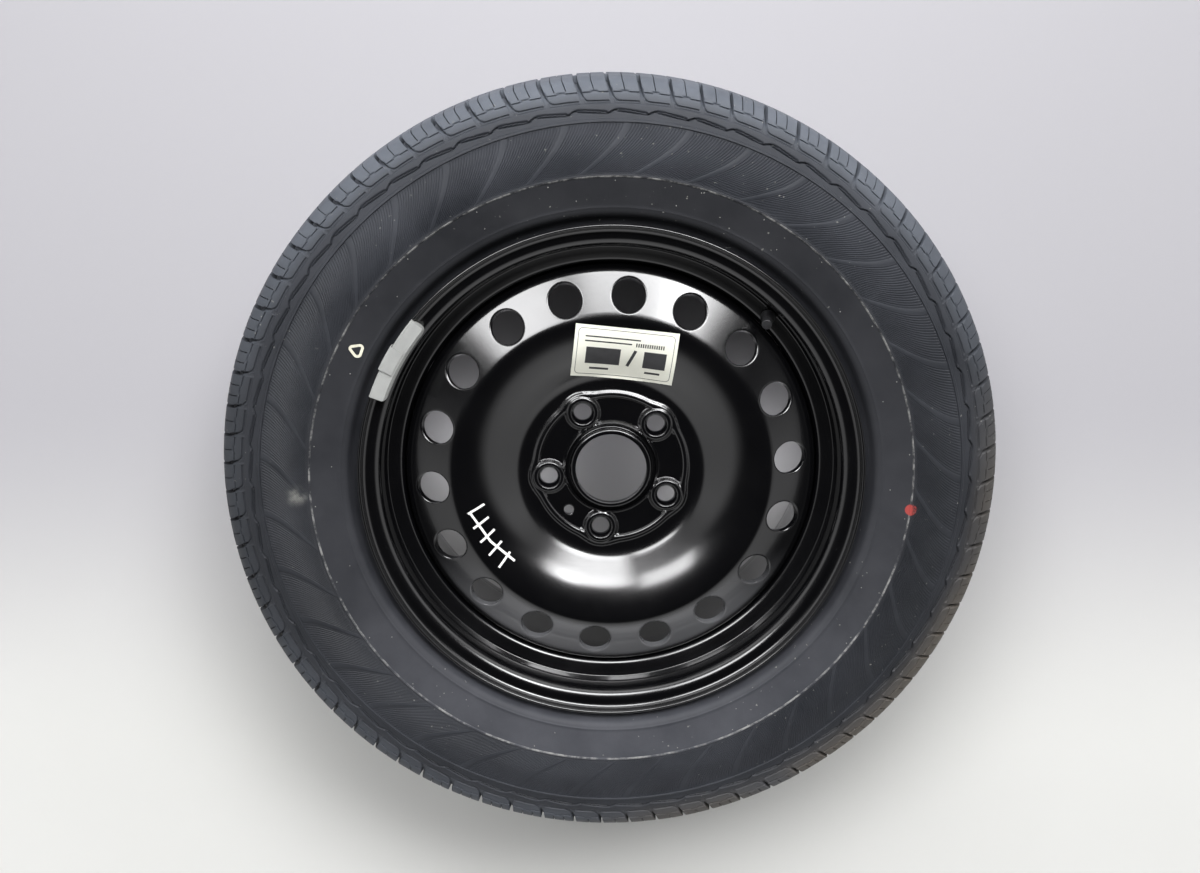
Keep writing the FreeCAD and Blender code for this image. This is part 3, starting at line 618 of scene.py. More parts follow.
def pressed(plan):
    """Height of the disc's front at points in plan, with the plateau, pockets, bosses and seats."""
    radius = from_point(plan, (0.0, 0.0))
    bolt = from_nearest(plan, BOLT_CENTRES)
    height = disc_at(radius)[0]
    lobe = bolt - LOBE
    outside = radius - PLATEAU
    blend = np.clip(0.5 + 0.5 * (lobe - outside) / LOBE_BLEND, 0, 1)
    edge = lobe * (1 - blend) + outside * blend - LOBE_BLEND * blend * (1 - blend)
    height += PLATEAU_RISE * smooth(2.0, -1.6, edge)
    height += 0.5 * np.exp(-((edge + 3.2) / 1.6) ** 2)
    pocket = np.max([POCKET_IN - radius, radius - POCKET_OUT, BOSS - bolt], axis=0)
    height -= POCKET_DEPTH * smooth(1.1, -1.5, pocket)
    height += BOSS_RISE * smooth(BOSS + 0.2, BOSS - 2.6, bolt)
    seat = np.clip(NUT_SEAT - bolt, 0, None) / math.tan(NUT_SEAT_SLOPE)
    height -= seat * smooth(NUT_SEAT + 0.7, NUT_SEAT - 0.7, bolt)
    height += 0.9 * np.exp(-((radius - BORE_BEAD) / 1.5) ** 2) * smooth(BOSS - 2.0, BOSS + 0.5, bolt)
    height -= 0.75 * smooth(1.5, -0.2, from_vents(plan)) ** 2
    height -= 0.5 * smooth(LOCATING_HOLE + 1.2, LOCATING_HOLE - 0.1, from_point(plan, LOCATING))
    return height


def disc_points():
    """Closed loops at the field's two edges and round every hole, and free points between them."""
    loops = [ring((0, 0), FIELD_IN, COLLAR_COLUMNS), ring((0, 0), FIELD_OUT, FLANGE_COLUMNS)]
    free = []
    for angle in VENTS:
        loops.append(vent_loop(angle, 0.0))
        free += [vent_loop(angle, grow) for grow in VENT_RINGS]
    for centre in BOLT_CENTRES:
        loops.append(ring(centre, BOLT_HOLE, 72))
        free += [ring(centre, radius, 72) for radius in BOLT_RINGS]
    loops.append(ring(LOCATING, LOCATING_HOLE, 36))
    free += [ring(LOCATING, radius, 36) for radius in LOCATING_RINGS]
    field = []
    radius = FIELD_IN + HUB_PITCH
    while radius < FIELD_OUT - 0.8:
        pitch = HUB_PITCH if radius < HUB else BOWL_PITCH
        count = int(TAU * radius / pitch) if radius < HUB else BOWL_COLUMNS
        field.append(ring((0, 0), radius, count, 0.5 * (len(field) % 2)))
        radius += pitch
    field = np.concatenate(field)
    keep = from_nearest(field, BOLT_CENTRES) > BOLT_RINGS[-1] + 0.7
    keep &= from_point(field, LOCATING) > LOCATING_RINGS[-1] + 0.8
    keep &= from_vents(field) > VENT_RINGS[-1] + 1.0
    return loops, np.concatenate([field[keep]] + free)


def disc_plan():
    """The field's points in plan and the triangles between them, without the holes."""
    loops, free = disc_points()
    points = []
    edges = []
    for loop in loops:
        base = len(points)
        points += loop.tolist()
        edges += [(base + i, base + (i + 1) % len(loop)) for i in range(len(loop))]
    points += free.tolist()
    found = geometry.delaunay_2d_cdt([Vector(point) for point in points], edges, [], 0, 1e-5)
    plan = np.array([(vertex.x, vertex.y) for vertex in found[0]])
    faces = np.array([face for face in found[2] if len(face) == 3])
    middle = plan[faces].mean(axis=1)
    radius = from_point(middle, (0.0, 0.0))
    keep = (radius > FIELD_IN - 0.0223) & (radius < FIELD_OUT)
    keep &= from_nearest(middle, BOLT_CENTRES) > BOLT_HOLE * 0.999
    keep &= from_point(middle, LOCATING) > LOCATING_HOLE * 0.996
    keep &= from_vents(middle) > -0.0015 * VENT
    faces = faces[keep]
    over = double_area(plan, faces) < 0
    faces[over] = faces[over][:, ::-1]
    return plan, faces


def disc_sheet():
    """The pressed field as a sheet, with a wall round every hole."""
    plan, faces = disc_plan()
    front = np.concatenate([plan, pressed(plan)[:, None]], axis=1)
    holes = []
    for i, j in open_edges(faces):
        if FIELD_IN + 0.5 < math.hypot(*(plan[i] + plan[j]) / 2) < FIELD_OUT - 0.5:
            holes.append((i, j))
    return closed_sheet(front, on_bowl(plan, -DISC_SHEET), faces, holes)


def bore_collar():
    """The collar round the bore, from the field's inner edge over its lip and back underneath."""
    under_bend = COLLAR_BEND + DISC_SHEET
    under = FACE - DISC_SHEET
    field_edge = [(FIELD_IN, pressed(np.array([[0.0, FIELD_IN]]))[0]), (44.6, FACE + 0.35)]
    inside = (DISC_FRONT[:, 0] < 44.0) & (DISC_FRONT[:, 1] < COLLAR_TOP - 0.9)
    lip = [(COLLAR - COLLAR_LIP * (1 - math.cos(turn)), COLLAR_TOP - COLLAR_LIP * (1 - math.sin(turn)))
           for turn in np.linspace(0, math.pi / 2, 8)]
    bore = [(BORE + 0.85, COLLAR_TOP), (BORE, COLLAR_TOP - 0.8), (BORE, under + under_bend)]
    bend = [(BORE + under_bend * (1 - math.cos(turn)), under + under_bend * (1 - math.sin(turn)))
            for turn in np.linspace(0.15, math.pi / 2, 8)]
    return np.concatenate([field_edge, DISC_FRONT[inside][::-1], lip, bore, bend, [(FIELD_IN, under)]])


def outer_flange():
    """The outer bend of the disc, from the field's outer edge down along the barrel and back."""
    level, lean, rise = disc_at(FIELD_OUT)
    edge = np.array([[FIELD_OUT, level]])
    front = DISC_FRONT[DISC_FRONT[:, 0] >= FIELD_OUT - 0.01]
    back = front - sides(front) * DISC_SHEET
    return np.concatenate([edge, front, back[::-1], edge - np.array([lean, rise]) * DISC_SHEET])


disc_parts = [disc_sheet(), spin(bore_collar(), COLLAR_COLUMNS), spin(outer_flange(), FLANGE_COLUMNS, True)]
disc = piece("disc_skin", *merged(disc_parts), PAINT, sharp=42.0, slot="black_paint")
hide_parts("disc")


# Tyre: the outer outline from the crown to the bead, in bands with their own moulding.
CROWN = 387.85
CROWN_BEND = 700.0
SHOULDER_DROP = 10.7
SHOULDER_HALF = 105.0
CROWN_SLOPE = math.atan(SHOULDER_DROP / SHOULDER_HALF)
CROWN_TIP = CROWN + CROWN_BEND * (1 / math.cos(CROWN_SLOPE) - 1)
TYRE_SIDE = [(CROWN_TIP, 0.0, CROWN_BEND), (CROWN_TIP - SHOULDER_DROP, SHOULDER_HALF, 22),
             (350.0, 115.5, 40), (304.0, 127.3, 70), (259.0, 115.0, 9), (252.2, 101.35, 9),
             (231.25, 101.35, 6.75), (229.72, 83.85)]
TYRE_INSIDE = np.array([300.0, 60.0])
SIDE_FROM = 90.0
BLOCK_FOOT = 357.6
DASHES = 350.2
RIB = 342.2
LINE = 291.4


def tyre_outline():
    """Dense outline of the outboard half, from the middle of the tread to the toe of the bead."""
    other = (TYRE_SIDE[1][0], -TYRE_SIDE[1][1])
    line = spaced(rounded([other] + TYRE_SIDE, 0.01), 0.8)
    half = line[int(np.argmax(line[:, 1] > 0.01)):]
    return np.concatenate([[[CROWN, 0.0]], half])


TYRE = tyre_outline()
TYRE_S = lengths(TYRE)
TYRE_N = sides(TYRE)
TYRE_N *= np.sign((TYRE_N * (TYRE - TYRE_INSIDE)).sum(axis=1))[:, None]
APEX = int(np.argmax(TYRE[:, 1]))


def outline_at(places):
    """Radius and height at places along the outline, and how far its normal leans out and rises."""
    return [np.interp(places, TYRE_S, values) for values in (*TYRE.T, *TYRE_N.T)]


def at_height(height):
    """Place along the outline where the tread reaches a height."""
    return float(np.interp(height, TYRE[:APEX, 1], TYRE_S[:APEX]))


def at_radius(radius):
    """Place along the outline where the side reaches a radius."""
    start = int(np.argmax(TYRE[:, 1] > SIDE_FROM))
    return float(np.interp(-radius, -TYRE[start:, 0], TYRE_S[start:]))


def skin(places, angles, lift, mirror):
    """A band of the tyre: places along the outline, angles and lifts for every row and column."""
    radius, height, out, up = (values[:, None] for values in outline_at(places))
    lift = np.broadcast_to(lift, angles.shape)
    height = height + up * lift
    verts = polar(radius + out * lift, angles, -height if mirror else height).reshape(-1, 3)
    return verts, grid_faces(*angles.shape, True, flip=not mirror)


# Tread blocks: long ones with two sipes and short ones with one, in groups. What runs across a block is a
# share of its pitch from slot to slot, or millimetres where it is a line's distance.
PITCHES = 75
PITCH_GROUP = 5
LONG_PITCH = 1.08
SHORT_PITCH = 0.92
BLOCK_LENGTH = 31.7
BLOCK_LEAN = math.radians(0.04)
BLOCK_SIDE = 22.0
BLOCK_RISE = 0.35
INSET = 0.1
SLOT_EDGE = 0.075
SLOT_FLOOR = 0.045
SLOT_TOP = 0.062
SLOT_DEPTH = 6.5
SLOT_END_DEPTH = 5.6
SLOT_FADE = 4.0
GROOVE_DEPTH = 7.5
RIB_CUT_DEPTH = 1.8
SIPES_LONG = (0.36, 0.68)
SIPE_SHORT = 0.52
SIPE_HALF = 0.008
SIPE_DEPTH = 2.4
BRACE = 10.2
BRACE_WAVE = 1.2
BRACE_HALF = 0.5
LINE_TOP = 13.5
LINE_EDGE = 1.65
LINE_HALF = 0.8
LINE_DEPTH = 1.3
FOOT_LEVEL = 2.0
FOOT_BEND = 6.0
FOOT_END = 4.6 - BLOCK_LENGTH
HAIR = 0.001

# Tread: heights of its rows from the middle on, with the grooves between them, and the rows of a block's
# side by their distance from its foot, closest where lines are cut.
GROOVE_IN = (16.4, 23.6)
GROOVE_OUT = (54.4, 62.0)
BLOCK_EDGE = 62.6
SLOT_FROM = 74.7
BLOCK_SIDE_FROM = 93.0
RIB_ROWS = (0.0, 8.0, 15.3, 16.6, 20.0, 23.4, 24.7, 32.0, 40.0, 48.0, 53.3, 54.6, 58.0)
BLOCK_ROWS = (58.0, 61.4, 62.7, 68.0, 73.6, 74.8, 80.0, 86.0, 92.0)
SIDE_ROWS = (22.0, 20.5, 18.5, 16.5, 15.0, 13.9, 13.2, 12.5, 11.9, 11.4, 10.9, 10.5, 10.1, 9.7, 9.2,
             8.4, 7.6, 6.8, 6.0, 5.3, 4.7, 4.1, 3.6, 3.1, 2.7, 2.3, 1.9, 1.5, 1.1, 0.6)


def pitches():
    """Where each slot stands, the angle to the next one, and which blocks are long."""
    long = (np.arange(PITCHES) // PITCH_GROUP) % 2 == 0
    width = np.where(long, LONG_PITCH, SHORT_PITCH)
    width = width * TAU / width.sum()
    return np.cumsum(width) - width, width, long


SLOTS, WIDTHS, LONG = pitches()


def cut_columns(middle):
    """Shares of one pitch at the walls of a sipe."""
    return [middle + SIPE_HALF * step for step in (-2, -1, 1, 2)]


def tread_columns(shares):
    """Shares of one pitch where a column stands, the slot's own among them, and every column's angle."""
    slot = [-SLOT_EDGE, -SLOT_TOP, -SLOT_FLOOR, SLOT_FLOOR, SLOT_TOP]
    shares = np.array(sorted(slot + shares))
    return np.tile(shares, PITCHES), (SLOTS[:, None] + shares * WIDTHS[:, None]).reshape(-1)


def foot_line(across, above):
    """Distance from the thin line that leaves a slot, bends at the block's foot and runs along under it."""
    centre = (-LINE_EDGE - FOOT_BEND, FOOT_LEVEL + FOOT_BEND)
    down = np.hypot(across + LINE_EDGE, above - np.clip(above, centre[1], LINE_TOP))
    along = np.hypot(across - np.clip(across, FOOT_END, centre[0]), above - FOOT_LEVEL)
    bend = np.abs(np.hypot(across - centre[0], above - centre[1]) - FOOT_BEND)
    corner = (across > centre[0]) & (above < centre[1])
    return np.where(corner, bend, np.minimum(down, along))


def tread_ribs(mirror):
    """The middle of the tread: ribs between grooves that run round it, with shallow cuts across."""
    share, columns = tread_columns([0.2, 0.34, 0.66, 0.8] + cut_columns(0.5))
    rows = np.array([at_height(height) for height in RIB_ROWS])
    height = outline_at(rows)[1][:, None]
    groove = ((height > GROOVE_IN[0]) & (height < GROOVE_IN[1])) | (height > GROOVE_OUT[0])
    cut = (np.abs(share) < SLOT_FLOOR + HAIR) | (np.abs(share - 0.5) < SIPE_HALF + HAIR)
    rise = np.where(groove, -GROOVE_DEPTH, np.where(cut, -RIB_CUT_DEPTH, 0.0))
    return skin(rows, np.tile(columns, (len(rows), 1)), rise - INSET, mirror)


def shoulder(mirror, row_step):
    """The shoulder blocks: slots that end in a thin bent line, sipes, and a brace across each side."""
    shares = [0.1, 0.15, 0.24, 0.44, 0.6, 0.74, 0.78, 0.81, 0.84, 0.87, 0.9]
    for middle in (*SIPES_LONG, SIPE_SHORT):
        shares += cut_columns(middle)
    share, columns = tread_columns(shares)
    long = np.repeat(LONG, len(share) // PITCHES)
    rows = [at_height(height) for height in BLOCK_ROWS]
    rows += [at_radius(BLOCK_FOOT + up) for up in (*SIDE_ROWS[::row_step], 0.0)]
    rows = np.array(sorted(rows))
    radius, height = (values[:, None] for values in outline_at(rows)[:2])
    above = np.where(height > BLOCK_SIDE_FROM, radius - BLOCK_FOOT, np.inf)
    angles = columns - BLOCK_LEAN * np.clip(BLOCK_SIDE - above, 0.0, BLOCK_SIDE)
    on_block = height > BLOCK_EDGE
    in_slot = np.abs(share) < SLOT_FLOOR + HAIR

    rise = np.where(on_block & (above > 0.5) & ~in_slot, BLOCK_RISE, 0.0)
    deep = np.interp(above, [LINE_TOP, 24.0], [SLOT_END_DEPTH, SLOT_DEPTH])
    rise = np.where((height > SLOT_FROM) & (above > LINE_TOP) & in_slot, -deep, rise)
    fading = np.interp(above, [SLOT_FADE, LINE_TOP], [0.0, 5.0]) * np.where(share < 0.0, 1.0, 0.35)
    rise = np.where((above < LINE_TOP) & in_slot, -fading, rise)

    from_pair = np.min([np.abs(share - middle) for middle in SIPES_LONG], axis=0)
    from_sipe = np.where(long, from_pair, np.abs(share - SIPE_SHORT))
    sipe = on_block & (above > BRACE + 2.6) & (from_sipe < SIPE_HALF + HAIR)
    rise = np.where(sipe, -SIPE_DEPTH, rise)

    level = np.where(np.abs(share - 0.5) < 0.1, BRACE + BRACE_WAVE, BRACE)
    brace = np.exp(-((above - level) / BRACE_HALF) ** 4) * ((share > 0.09) & (share < 0.91))
    across = share * BLOCK_LENGTH
    beside = np.minimum(foot_line(across, above), foot_line(across - BLOCK_LENGTH, above))
    lines = np.maximum(brace, np.exp(-(beside / LINE_HALF) ** 4))
    rise = np.minimum(rise, BLOCK_RISE - LINE_DEPTH * lines)
    at_foot = above < 0.1
    rise = np.where(at_foot, 0.0, rise)
    rise = np.where(height < GROOVE_OUT[1], -GROOVE_DEPTH, rise)
    return skin(rows, angles, rise - INSET * ~at_foot, mirror)


# Buttress: a stepped line with a bar in it, level over most of a step and back over its jog.
STEPS = 60
JOG = 0.15
STEP_HIGH = 1.7
STEP_LOW = -1.3
STEP_COLUMNS = (0.0, 0.03, 0.06, 0.09, 0.12, 0.15, 0.18, 0.22, 0.34, 0.46, 0.58, 0.7, 0.82, 0.92, 0.96)


def buttress(mirror):
    """The plain band below the blocks, with a stepped line cut all round it."""
    levels = [*np.arange(BLOCK_FOOT, RIB + 1.9, -0.5), RIB + 1.6, RIB + 1.0, RIB + 0.3, RIB - 0.4]
    rows = np.array([at_radius(level) for level in levels])
    radius = outline_at(rows)[0][:, None]
    share = np.tile(STEP_COLUMNS, STEPS)
    columns = (np.repeat(np.arange(STEPS), len(STEP_COLUMNS)) + share) * TAU / STEPS
    gap = radius - DASHES - np.interp(share, [0.0, JOG, 1.0], [STEP_HIGH, STEP_LOW, STEP_HIGH])
    straight = (share > 0.2) & (share < 0.94)
    half_width = np.where(straight, 1.45, 0.6)
    rise = 0.8 * smooth(-0.3, 0.3, gap) - 2.0 * np.exp(-(gap / half_width) ** 4)
    rise += 1.7 * straight * np.exp(-((gap + 0.15) / 0.55) ** 4)
    rise *= smooth(BLOCK_FOOT, BLOCK_FOOT - 1.4, radius)
    rise += smooth(RIB + 1.9, RIB + 1.2, radius)
    return skin(rows, np.tile(columns, (len(rows), 1)), rise, mirror)


# Sidewall: groups of fine ridges that sweep back towards the bead, and a smooth wall inside them.
SWOOSHES = 37
SWOOSH_TURN = 9.2
RIDGE_SHARES = (0.0, 0.42, 0.72)
RIDGE_RISES = (-0.3, 0.3, 0.3)
RIDGE_DROP = 0.7
BROAD_RISE = 0.6
WALL_COLUMNS = 360
WALL_LINE = 264.1


def swoosh(radius):
    """Turn, in degrees, of a moulded rib at a radius."""
    share = (RIB - radius) / (RIB - LINE)
    return SWOOSH_TURN * (0.28 * share + 0.72 * share * share)


def serrated(mirror, lines):
    """The band of fine curved ridges with a broader rib in front of each group of them."""
    count = SWOOSHES * lines
    line = np.repeat(np.arange(count), len(RIDGE_SHARES))
    share = np.tile(RIDGE_SHARES, count)
    in_group = (line % lines + share) / lines
    radius = [RIB - 0.4, RIB - 1.1, RIB - 1.6, *np.linspace(RIB - 3.5, LINE + 5.0, 20),
              LINE + 3.4, LINE + 2.9, LINE + 2.3]
    rows = np.array([at_radius(level) for level in radius])
    radius = np.array(radius)[:, None]
    angles = (line + share) * TAU / count + np.radians(swoosh(radius))
    broad = np.exp(-((in_group - 0.8 / lines) / (1.1 / lines)) ** 4)
    rise = np.tile(RIDGE_RISES, count) * (1 - broad) + BROAD_RISE * broad - RIDGE_DROP
    rise = rise * smooth(LINE + 2.9, LINE + 4.4, radius) * smooth(RIB - 1.1, RIB - 2.4, radius)
    rise += smooth(RIB - 1.6, RIB - 1.1, radius) + 0.7 * smooth(LINE + 3.3, LINE + 2.7, radius)
    return skin(rows, angles, rise, mirror)


def lower_wall(mirror):
    """The smooth wall from the inner rib line to the bead, with its fine rim lines."""
    levels = [LINE + 2.3, LINE + 1.2, LINE + 0.4, LINE - 0.1, *np.arange(LINE - 3.0, 266.0, -3.0),
              265.0, 264.4, 263.8, 263.2, 262.4, 261.0]
    rows = [at_radius(level) for level in levels]
    rows = np.array([*rows, *np.linspace(rows[-1], TYRE_S[-1], 26)[1:]])
    radius = outline_at(rows)[0][:, None]
    rise = 0.7 * smooth(LINE + 0.3, LINE + 1.2, radius) + 0.45 * np.exp(-((radius - WALL_LINE) / 0.6) ** 2)
    return skin(rows, np.tile(turns(WALL_COLUMNS), (len(rows), 1)), rise, mirror)


PIP_SIDES = 8
PIP_RADIUS = 0.55
PIP_ROOT = -0.6


def pips(mirror, level, count, start):
    """Short rubber pips that the mould's air holes leave on the wall, uneven in place and length."""
    radius, height, lean, rise = outline_at(at_radius(level))
    up = np.array([0.0, 0.0, -1.0 if mirror else 1.0])
    caps = [list(range(PIP_SIDES))[::-1], list(range(PIP_SIDES, 2 * PIP_SIDES))]
    faces = grid_faces(2, PIP_SIDES, True, flip=mirror).tolist()
    faces += [cap[::-1] for cap in caps] if mirror else caps
    parts = []
    for step in range(count):
        angle = start + step * TAU / count + 0.02 * math.sin(step * 2.3)
        out = np.array([math.cos(angle), math.sin(angle), 0.0])
        along = np.array([-math.sin(angle), math.cos(angle), 0.0])
        normal = out * lean + up * rise
        across = np.cross(normal, along)
        foot = out * radius + up * height
        top = 0.7 + 0.6 * math.sin(step * 5.1) ** 2
        verts = [foot + normal * lift + PIP_RADIUS * (along * np.cos(turn) + across * np.sin(turn))
                 for lift in (PIP_ROOT, top) for turn in turns(PIP_SIDES)]
        parts.append((np.array(verts), faces))
    return parts


tyre_pieces = []
for side, mirror, lines, row_step in (("outboard", False, 20, 1), ("inboard", True, 10, 2)):
    bands = {"ribs": tread_ribs(mirror), "blocks": shoulder(mirror, row_step), "buttress": buttress(mirror),
             "band": serrated(mirror, lines), "wall": lower_wall(mirror)}
    for band, shape in bands.items():
        tyre_pieces.append(piece("tyre_%s_%s" % (band, side), *shape, RUBBER, sharp=30.0, slot="tyre"))
dusty_pips = pips(False, LINE - 2.4, 26, 0.1)
dusty_pips += pips(False, 272.0, 18, 0.3)
dusty_pips += pips(True, LINE - 2.4, 26, 0.2)
tyre_pieces.append(piece("tyre_mould_pips", *merged(dusty_pips), DUSTY, slot="tyre"))
for part in tyre_pieces:
    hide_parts("tyre")


# Marks on the surfaces: ribbons and fields of ink that follow what carries them.

def on_wall(plan, lift):
    """Points over the tyre's outboard wall, lifted along its normal."""
    radius = from_point(plan, (0.0, 0.0))
    height, lean, rise = outline_at([at_radius(level) for level in radius])[1:]
    grown = (radius + lean * lift) / radius
    return np.stack([plan[:, 0] * grown, plan[:, 1] * grown, height + rise * lift], axis=1)


def slab(plan, rows, columns, carrier, low, high, closed=False):
    """A thin closed field of ink from a grid of points in plan."""
    faces = grid_faces(rows, columns, closed)
    if double_area(plan, faces[:1])[0] < 0:
        faces = faces[:, ::-1]
    return closed_sheet(carrier(plan, high), carrier(plan, low), faces, open_edges(faces))


def ribbon(path, width, carrier, low, high, closed=False):
    """A line of ink of one width along points in plan."""
    path = np.asarray(path, float)
    ahead = np.gradient(path, axis=0)
    if closed:
        ahead = np.roll(path, -1, axis=0) - np.roll(path, 1, axis=0)
    ahead /= np.linalg.norm(ahead, axis=1)[:, None]
    left = np.stack([-ahead[:, 1], ahead[:, 0]], axis=1) * width / 2
    return slab(np.concatenate([path + left, path - left]), 2, len(path), carrier, low, high, closed)


LABEL_CENTRE = np.array([12.0, 119.0])
LABEL_TURN = math.radians(-5.8)
LABEL_TOP = 0.35
LABEL_INK = (LABEL_TOP - 0.02, LABEL_TOP + 0.06)


def on_label(points):
    """Points of the label's own right and up, in millimetres from its middle, set in plan."""
    c, s = math.cos(LABEL_TURN), math.sin(LABEL_TURN)
    return LABEL_CENTRE + np.asarray(points, float) @ np.array([[c, s], [-s, c]])


def label_field(left, right, low, high):
    """A plain field of ink on the label."""
    across = max(2, int((right - left) / 3) + 2)
    along = max(2, int((high - low) / 3) + 2)
    grid = [(x, y) for y in np.linspace(low, high, along) for x in np.linspace(left, right, across)]
    return slab(on_label(grid), along, across, on_bowl, *LABEL_INK)


def round_frame(half_width, half_height, bend):
    """The path of a frame with round corners."""
    path = []
    for start, right, up in ((0, 1, 1), (90, -1, 1), (180, -1, -1), (270, 1, -1)):
        for turn in np.radians(start + np.linspace(0, 90, 7)):
            x = right * (half_width - bend) + bend * math.cos(turn)
            y = up * (half_height - bend) + bend * math.sin(turn)
            path.append((x, y))
    return spaced(np.array(path + path[:1]), 3.0)[:-1]


# Label print: a frame, two lines of words, a row of bars, two large fields with a stroke between, two units.
BARS = 13
BAR_PITCH = 2.2
BAR_WIDTH = 1.3
FIGURES = (-12.4, 5.6)
UNITS = (-18.8, -16.6)
ink = [ribbon(on_label(round_frame(47.0, 24.6, 4.0)), 0.5, on_bowl, *LABEL_INK, closed=True)]
ink += [label_field(-40.0, 14.0, 16.0, 17.4), label_field(-40.0, 6.0, 11.2, 12.6)]
for bar in range(BARS):
    bar_left = 10.0 + BAR_PITCH * bar
    ink.append(label_field(bar_left, bar_left + BAR_WIDTH, 9.6, 13.6))
ink += [label_field(-38.0, -4.0, *FIGURES), label_field(19.0, 41.0, *FIGURES)]
stroke = spaced(np.array([(4.0, FIGURES[0]), (10.5, FIGURES[1])]), 3.0)
ink.append(ribbon(on_label(stroke), 3.0, on_bowl, *LABEL_INK))
ink += [label_field(-33.0, -14.0, *UNITS), label_field(22.0, 37.0, *UNITS)]
piece("label_ink", *merged(ink), INK, slot="label_paper")


# Paint pen on the bowl: five short strokes and a long one across them, as radius and angle.
PEN_WIDTH = 2.3
PEN_PITCH = 6.2


def marker(points):
    """A stroke of a paint pen, through points given as radius and angle on the bowl."""
    path = np.array([in_plan(radius, degrees) for radius, degrees in points])
    return ribbon(spaced(path, 2.0), PEN_WIDTH, on_bowl, -0.05, 0.1)


strokes = []
for step in range(5):
    strokes.append(marker([(131.0, -166.0 + PEN_PITCH * step), (149.0, -164.2 + PEN_PITCH * step)]))
strokes.append(marker([(133.5, -136.8), (140.0, -150.0), (147.0, -164.8)]))
piece("marker_strokes", *merged(strokes), WHITE, slot="label_paper")

# Paint spot on the tyre's wall: the outline of a small rounded triangle.
SPOT = in_plan(274.7, 152.2)
SPOT_CORNERS = [(-7.0, 5.5), (7.0, 7.0, 2.5), (1.5, -8.0, 3.0), (-7.0, 5.5, 2.0), (7.0, 7.0)]
SPOT_WIDTH = 2.6
triangle = rounded(SPOT_CORNERS, 0.4)[1:-1]
spot_path = spaced(np.concatenate([triangle, triangle[:1]]), 1.5)[:-1] + SPOT
piece("paint_spot", *ribbon(spot_path, SPOT_WIDTH, on_wall, -0.1, 0.15, closed=True), CREAM, slot="tyre")


# CAD nodes that keep their own shape.
FINISHES = {
    "weld_beads": PAINT, "balance_weight": ZINC, "balance_weight_clip": ZINC, "label": PAPER,
    "valve_stem": STEM, "valve_tube": BRASS, "valve_cap": CAP, "valve_cap_seal": STEM,
    "valve_core_body": BRASS, "valve_core_gasket": GASKET, "valve_core_pin": BRASS,
    "valve_core_seal": STEM, "valve_core_spring": STEEL,
}
for name, finish in FINISHES.items():
    slots = NODES[name].data.materials
    slots.clear()
    slots.append(finish)


# Stage: floor, lights and camera.
FLOOR = float(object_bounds()[0][2]) - 0.0005
FLOOR_HALF = 9
floor_corners = [(x * FLOOR_HALF, y * FLOOR_HALF, FLOOR) for x, y in ((-1, -1), (1, -1), (1, 1), (-1, 1))]
floor_mesh = bpy.data.meshes.new("floor")
floor_mesh.from_pydata(floor_corners, [], [(0, 1, 2, 3)])
floor_mesh.materials.append(floor_material())
floor = bpy.data.objects.new("floor", floor_mesh)
SCENE.collection.objects.link(floor)


def lamp(name, place, size, power, target=None, mirrored=True):
    """A soft lamp that looks down or at a target, and that gloss shows or doesn't."""
    data = bpy.data.lights.new(name, "AREA")
    data.size = size
    data.energy = power
    thing = bpy.data.objects.new(name, data)
    thing.location = place
    thing.visible_camera = False
    thing.visible_glossy = mirrored
    if target is not None:
        thing.rotation_euler = (Vector(target) - Vector(place)).to_track_quat("-Z", "Y").to_euler()
    SCENE.collection.objects.link(thing)


lamp("barrel_left", (-0.14, -0.04, -0.05), 0.1, 0.08)
lamp("barrel_right", (0.155, -0.05, -0.05), 0.1, 0.085)
lamp("key_above", (0.0, 1.1, 0.9), 0.8, 14.0, (0.0, 0.0, 0.0), mirrored=False)

# The room: sines of elevation where it fades out, its light, how that grows towards the wheel's upper edge
# and towards both ends, and the light overhead.
ROOM_FADE = (0.46, 0.72)
ROOM_TILT = 0.22
ROOM_LIGHT = 0.66
ROOM_UPPER = 0.9
ROOM_ENDS = 1.1
ROOM_COLOUR = (0.99, 0.99, 1.0, 1.0)
OVERHEAD_LIGHT = 0.016

# Ceiling lights: bearing, half width and soft edge in degrees, sines of lower and upper elevation, light.
CEILING_LIGHTS = [(73.0, 36.0, 16.0, 0.53, 0.83, 13.0), (128.0, 24.0, 10.0, 0.6, 0.9, 10.0),
                  (60.0, 8.0, 5.0, 0.6, 0.84, 8.0)]
CEILING_LOWER_EDGE = 0.08
CEILING_UPPER_EDGE = 0.1


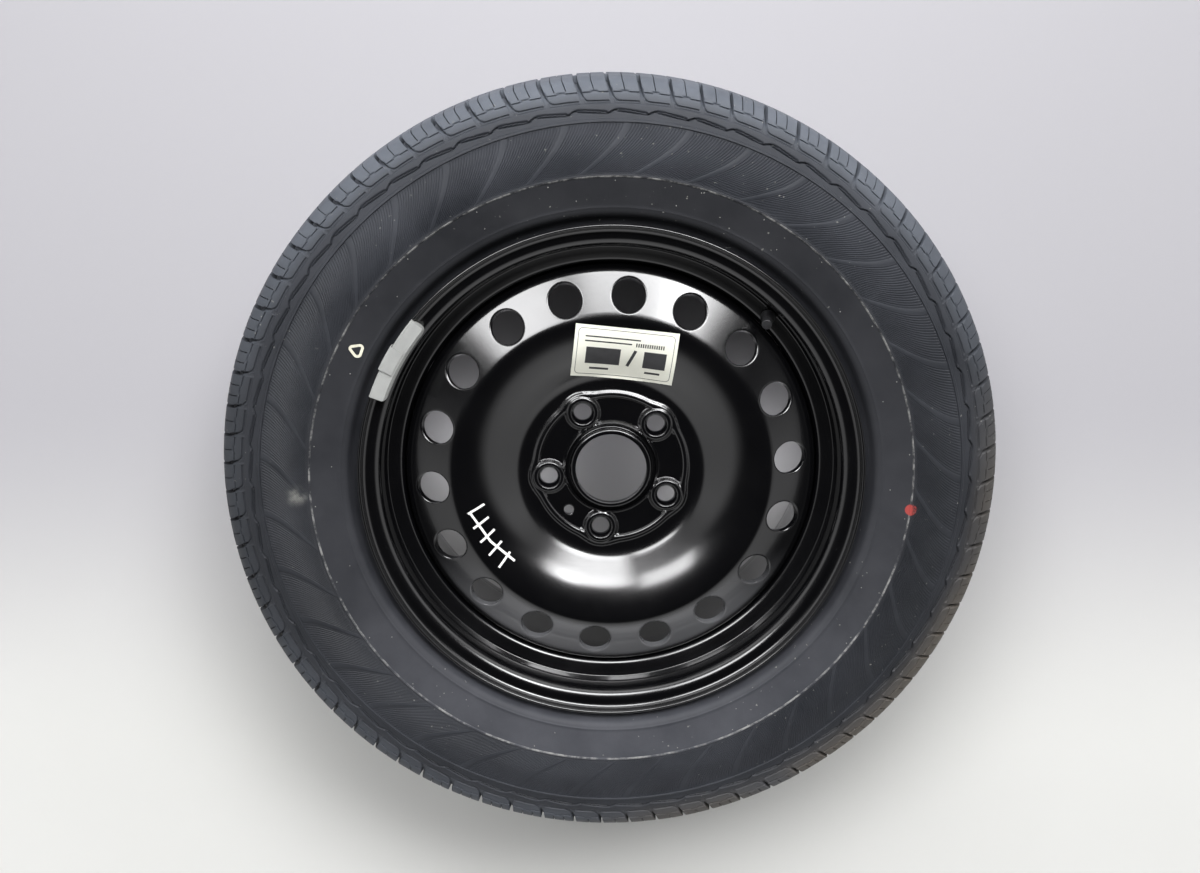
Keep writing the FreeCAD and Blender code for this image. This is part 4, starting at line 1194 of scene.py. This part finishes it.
def studio():
    """A bright room low down, dark overhead, with ceiling lights beyond the wheel's upper edge."""
    world = bpy.data.worlds.new("studio")
    world.use_nodes = True
    tree = world.node_tree
    x, y, rise = place_sockets(tree, "Generated")
    low = rest_of(tree, between(tree, plus(tree, rise, times(tree, y, ROOM_TILT)), *ROOM_FADE))
    ends = plus(tree, times(tree, y, ROOM_UPPER), times(tree, square_of(tree, y), ROOM_ENDS))
    room = times(tree, plus(tree, ends, 1.0), ROOM_LIGHT)
    total = plus(tree, times(tree, low, room), OVERHEAD_LIGHT)
    level = math_node(tree, "SQRT", rest_of(tree, square_of(tree, rise)))
    for bearing, half, soft, bottom, top, light in CEILING_LIGHTS:
        ahead = in_plan(1.0, bearing)
        along = plus(tree, times(tree, x, float(ahead[0])), times(tree, y, float(ahead[1])))
        facing = math_node(tree, "DIVIDE", along, level)
        wide = between(tree, facing, math.cos(math.radians(half)), math.cos(math.radians(half - soft)))
        over = between(tree, rise, bottom, bottom + CEILING_LOWER_EDGE)
        under = rest_of(tree, between(tree, rise, top - CEILING_UPPER_EDGE, top))
        total = plus(tree, total, times(tree, wide, over, under, light))
    background = tree.nodes["Background"]
    background.inputs["Color"].default_value = ROOM_COLOUR
    tree.links.new(total, background.inputs["Strength"])
    return world


SCENE.world = studio()
SCENE.view_settings.view_transform = "Standard"

# Camera: place in metres, and the directions of its right and of its back.
CAMERA_PLACE = (-0.0358, 0.3518, 1.3446)
CAMERA_RIGHT = Vector((0.9998, 0.0045, 0.0181))
CAMERA_BACK = Vector((-0.0186, 0.2421, 0.9701)).normalized()
CAMERA_SENSOR = 36.0
CAMERA_LENS = 39.315
camera_data = bpy.data.cameras.new("camera")
camera_data.sensor_width = CAMERA_SENSOR
camera_data.lens = CAMERA_LENS
camera_data.clip_start = 0.01
camera_up = CAMERA_BACK.cross(CAMERA_RIGHT).normalized()
camera_right = camera_up.cross(CAMERA_BACK).normalized()
camera_turn = Matrix((camera_right, camera_up, CAMERA_BACK)).transposed()
camera = bpy.data.objects.new("camera", camera_data)
camera.matrix_world = Matrix.Translation(CAMERA_PLACE) @ camera_turn.to_4x4()
SCENE.collection.objects.link(camera)
SCENE.camera = camera
